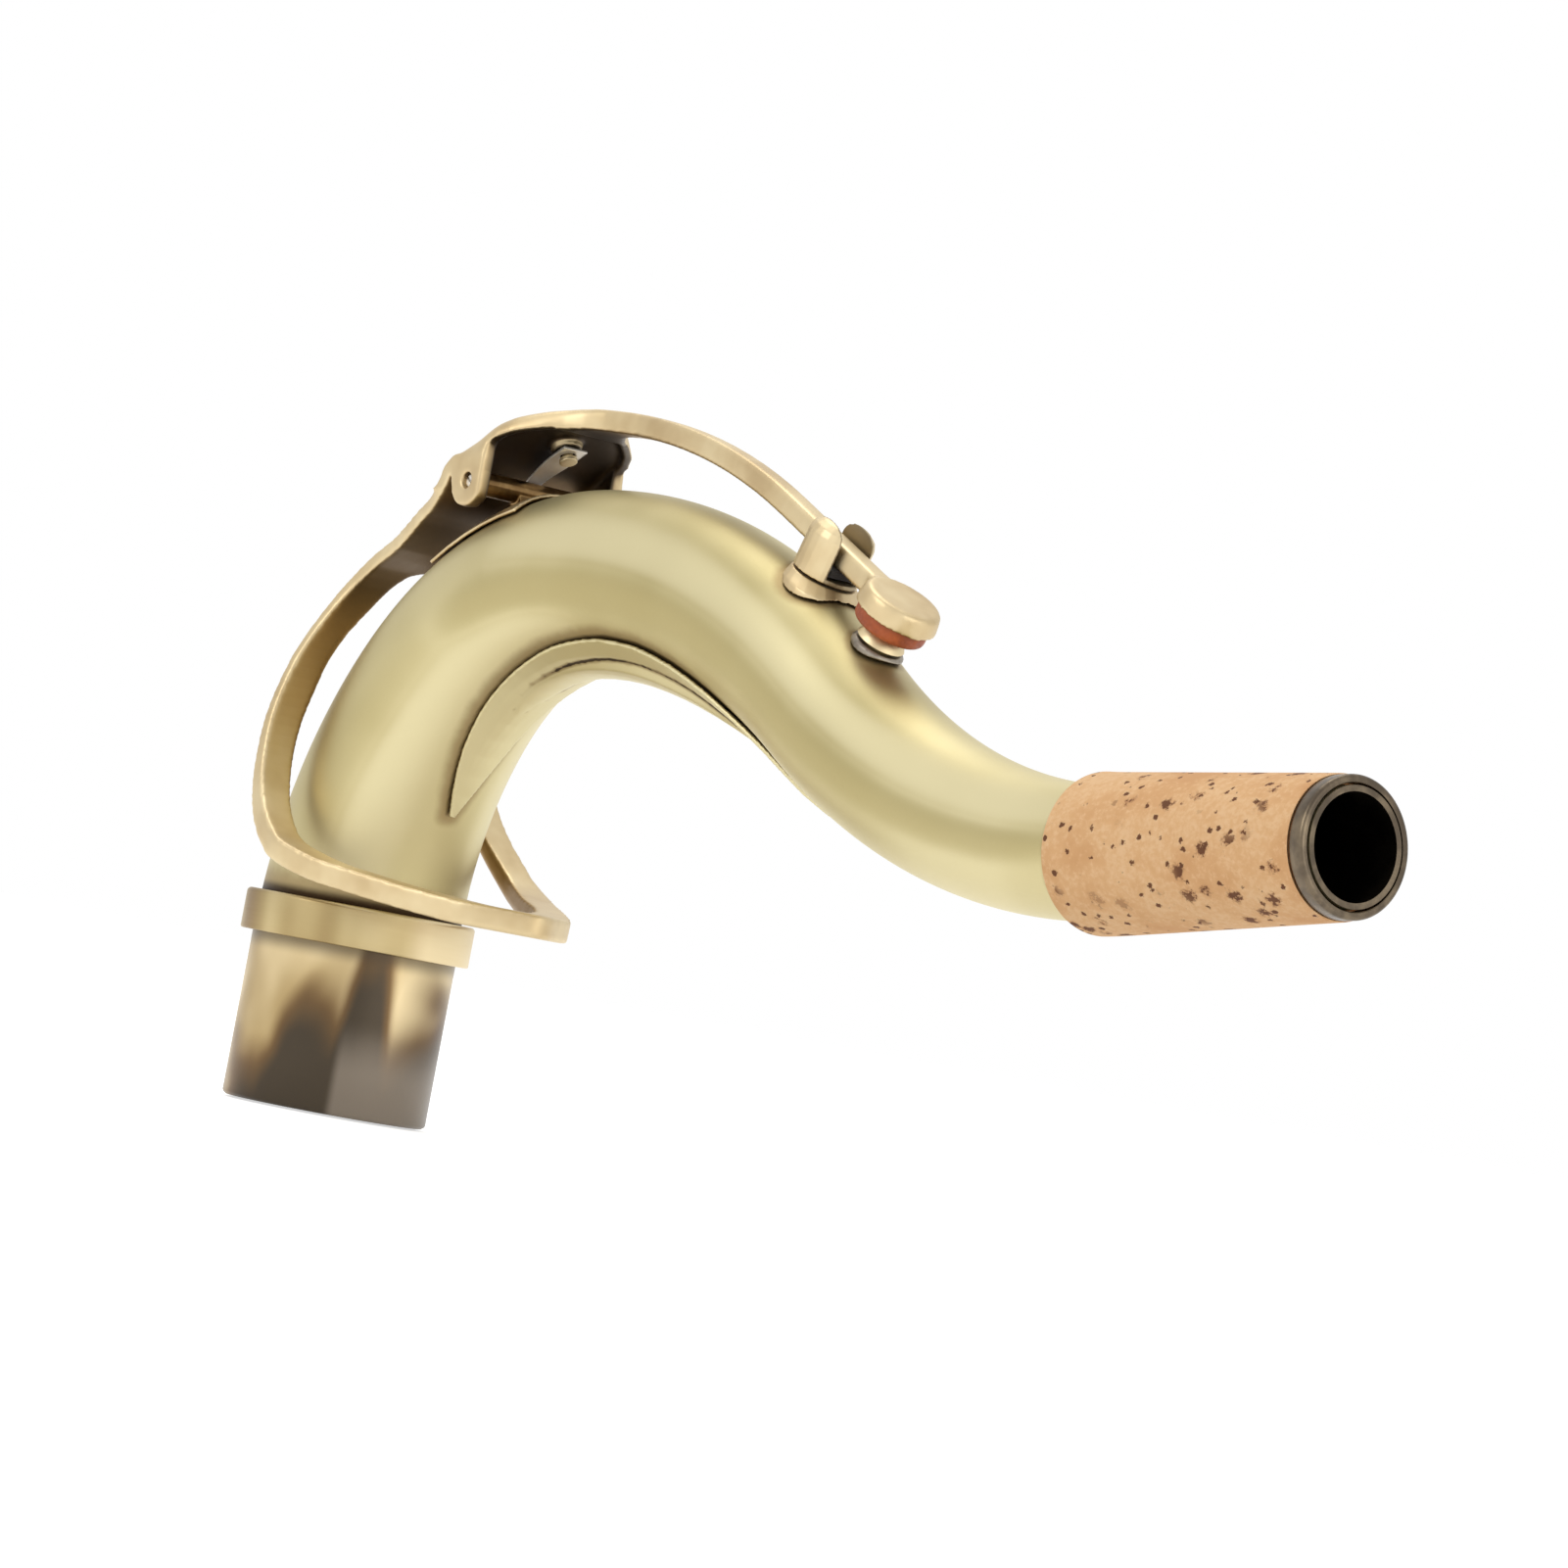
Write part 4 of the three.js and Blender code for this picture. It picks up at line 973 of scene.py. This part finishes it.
# face: the dished underside, [radius, lift]; rim: the upper edge, counted from radius and top
pad = {
    "radius": 4.75, "bottom": 2.9, "top": 5.6, "round": 0.75, "roundStart": -75, "roundRows": 6,
    "face": [(0, 0.12), (2.0, 0.1), (2.9, 0.05), (3.6, 0)],
    "rim": [(0, -0.5), (-0.12, -0.1), (-0.5, 0)], "steps": 96, "fill": 0.9,
}


def makePad():
    r, low, high, soft = (pad[key] for key in ("radius", "bottom", "top", "round"))
    outline = [(radius, low + lift) for radius, lift in pad["face"]]
    outline += list(arcPoints(r - soft, low + soft, soft, pad["roundStart"], 0, pad["roundRows"]))
    outline += [(r + inset, high + drop) for inset, drop in pad["rim"]] + [(0, high)]
    obj = turnedPiece("padCushion", outline, standOn(vent["station"]), pad["steps"])
    dress(obj, padSkin)
    finishMesh(obj)
    return settle(obj, "octave_key", "pad_leather", "key_pad")


# name, the solid it is cast from, finish, slot, grain in millimetres, passes
springPieces = [
    ("leafSpring", "flat_spring", springSteel, "steel", 0.09, 12),
    ("springScrew", "spring_screw", collarBrass, "antique_brass", 0.07, 6),
]


def makeSpring():
    for name, source, paint, slot, grain, passes in springPieces:
        piece = castCopy(name, [source], grain, passes)
        dress(piece, paint)
        settle(piece, "octave_key", slot, source)


makeKey()
makeRod()
makePad()
makeSpring()
print("stage 6: the octave key is hung")

# studio
view = {
    "azimuth": 53.011, "elevation": -1.768, "roll": 10.634, "distance": 0.84158,
    "target": (0.087175, 0, 0.029996), "lens": 156.283, "nearest": 0.05, "farthest": 20,
}


def makeCamera():
    a, e, r = (math.radians(view[key]) for key in ("azimuth", "elevation", "roll"))
    back = Vector((math.sin(a) * math.cos(e), -math.cos(a) * math.cos(e), math.sin(e)))
    right = Vector((math.cos(a), math.sin(a), 0))
    up = back.cross(right)
    side = right * math.cos(r) + up * math.sin(r)
    top = up * math.cos(r) - right * math.sin(r)
    data = bpy.data.cameras.new("photoCamera")
    data.lens = view["lens"]
    data.clip_start, data.clip_end = view["nearest"], view["farthest"]
    cam = bpy.data.objects.new("photoCamera", data)
    bpy.context.scene.collection.objects.link(cam)
    place = Matrix((side, top, back)).transposed().to_4x4()
    place.translation = Vector(view["target"]) + back * view["distance"]
    cam.matrix_world = place
    bpy.context.scene.camera = cam
    return side, top, back


side, top, back = makeCamera()

lamps = {
    "keyLamp": {"from": (-0.9, 1.1, 0.9), "size": 1.0, "power": 7},
    "fillLamp": {"from": (1.0, 0.1, 0.9), "size": 1.0, "power": 4},
    "topLamp": {"from": (0.1, 1.2, -0.4), "size": 0.8, "power": 4},
}


def makeLamps():
    target = Vector(view["target"])
    for name, look in lamps.items():
        data = bpy.data.lights.new(name, "AREA")
        data.shape, data.size, data.energy = "DISK", look["size"], look["power"]
        lamp = bpy.data.objects.new(name, data)
        bpy.context.scene.collection.objects.link(lamp)
        x, y, z = look["from"]
        lamp.location = target + side * x + top * y + back * z
        lamp.rotation_euler = (lamp.location - target).to_track_quat("Z", "Y").to_euler()


floor = {
    "height": -0.0225, "size": 6.0, "colour": (0.86, 0.86, 0.86), "roughness": 0.9, "shine": 0.62,
}
sky = {"light": 0.55, "seen": 1}
white = (1, 1, 1, 1)


def seenRay(tree):
    # 1 for what the camera, a gloss or glass sees
    path = tree.nodes.new("ShaderNodeLightPath")
    both = tree.nodes.new("ShaderNodeMath")
    both.operation = "MAXIMUM"
    tree.links.new(path.outputs["Is Camera Ray"], both.inputs[0])
    tree.links.new(path.outputs["Is Glossy Ray"], both.inputs[1])
    every = tree.nodes.new("ShaderNodeMath")
    every.operation = "MAXIMUM"
    tree.links.new(both.outputs[0], every.inputs[0])
    tree.links.new(path.outputs["Is Transmission Ray"], every.inputs[1])
    return every.outputs[0]


def makeFloor():
    bpy.ops.object.select_all(action="DESELECT")
    bpy.ops.mesh.primitive_plane_add(size=floor["size"], location=(0, 0, floor["height"]))
    obj = bpy.context.object
    obj.name = "paleFloor"
    paint = Paint("paleFloor", Roughness=floor["roughness"])
    paint.shader.inputs["Base Color"].default_value = (*floor["colour"], 1)
    paint.shader.inputs["Emission Color"].default_value = white
    tree = paint.tree
    strength = tree.nodes.new("ShaderNodeMath")
    strength.operation = "MULTIPLY"
    tree.links.new(seenRay(tree), strength.inputs[0])
    strength.inputs[1].default_value = floor["shine"]
    tree.links.new(strength.outputs[0], paint.shader.inputs["Emission Strength"])
    dress(obj, paint)


def makeSky():
    world = bpy.data.worlds.new("studioSky")
    bpy.context.scene.world = world
    world.use_nodes = True
    tree = world.node_tree
    tree.nodes.clear()
    out = tree.nodes.new("ShaderNodeOutputWorld")
    light = tree.nodes.new("ShaderNodeBackground")
    light.inputs["Color"].default_value = white
    light.inputs["Strength"].default_value = sky["light"]
    seen = tree.nodes.new("ShaderNodeBackground")
    seen.inputs["Color"].default_value = white
    seen.inputs["Strength"].default_value = sky["seen"]
    mix = tree.nodes.new("ShaderNodeMixShader")
    tree.links.new(seenRay(tree), mix.inputs[0])
    tree.links.new(light.outputs[0], mix.inputs[1])
    tree.links.new(seen.outputs[0], mix.inputs[2])
    tree.links.new(mix.outputs[0], out.inputs["Surface"])


makeLamps()
makeFloor()
makeSky()
bpy.context.scene.view_settings.view_transform = "Standard"
print("stage 7: camera, lamps and floor are set")
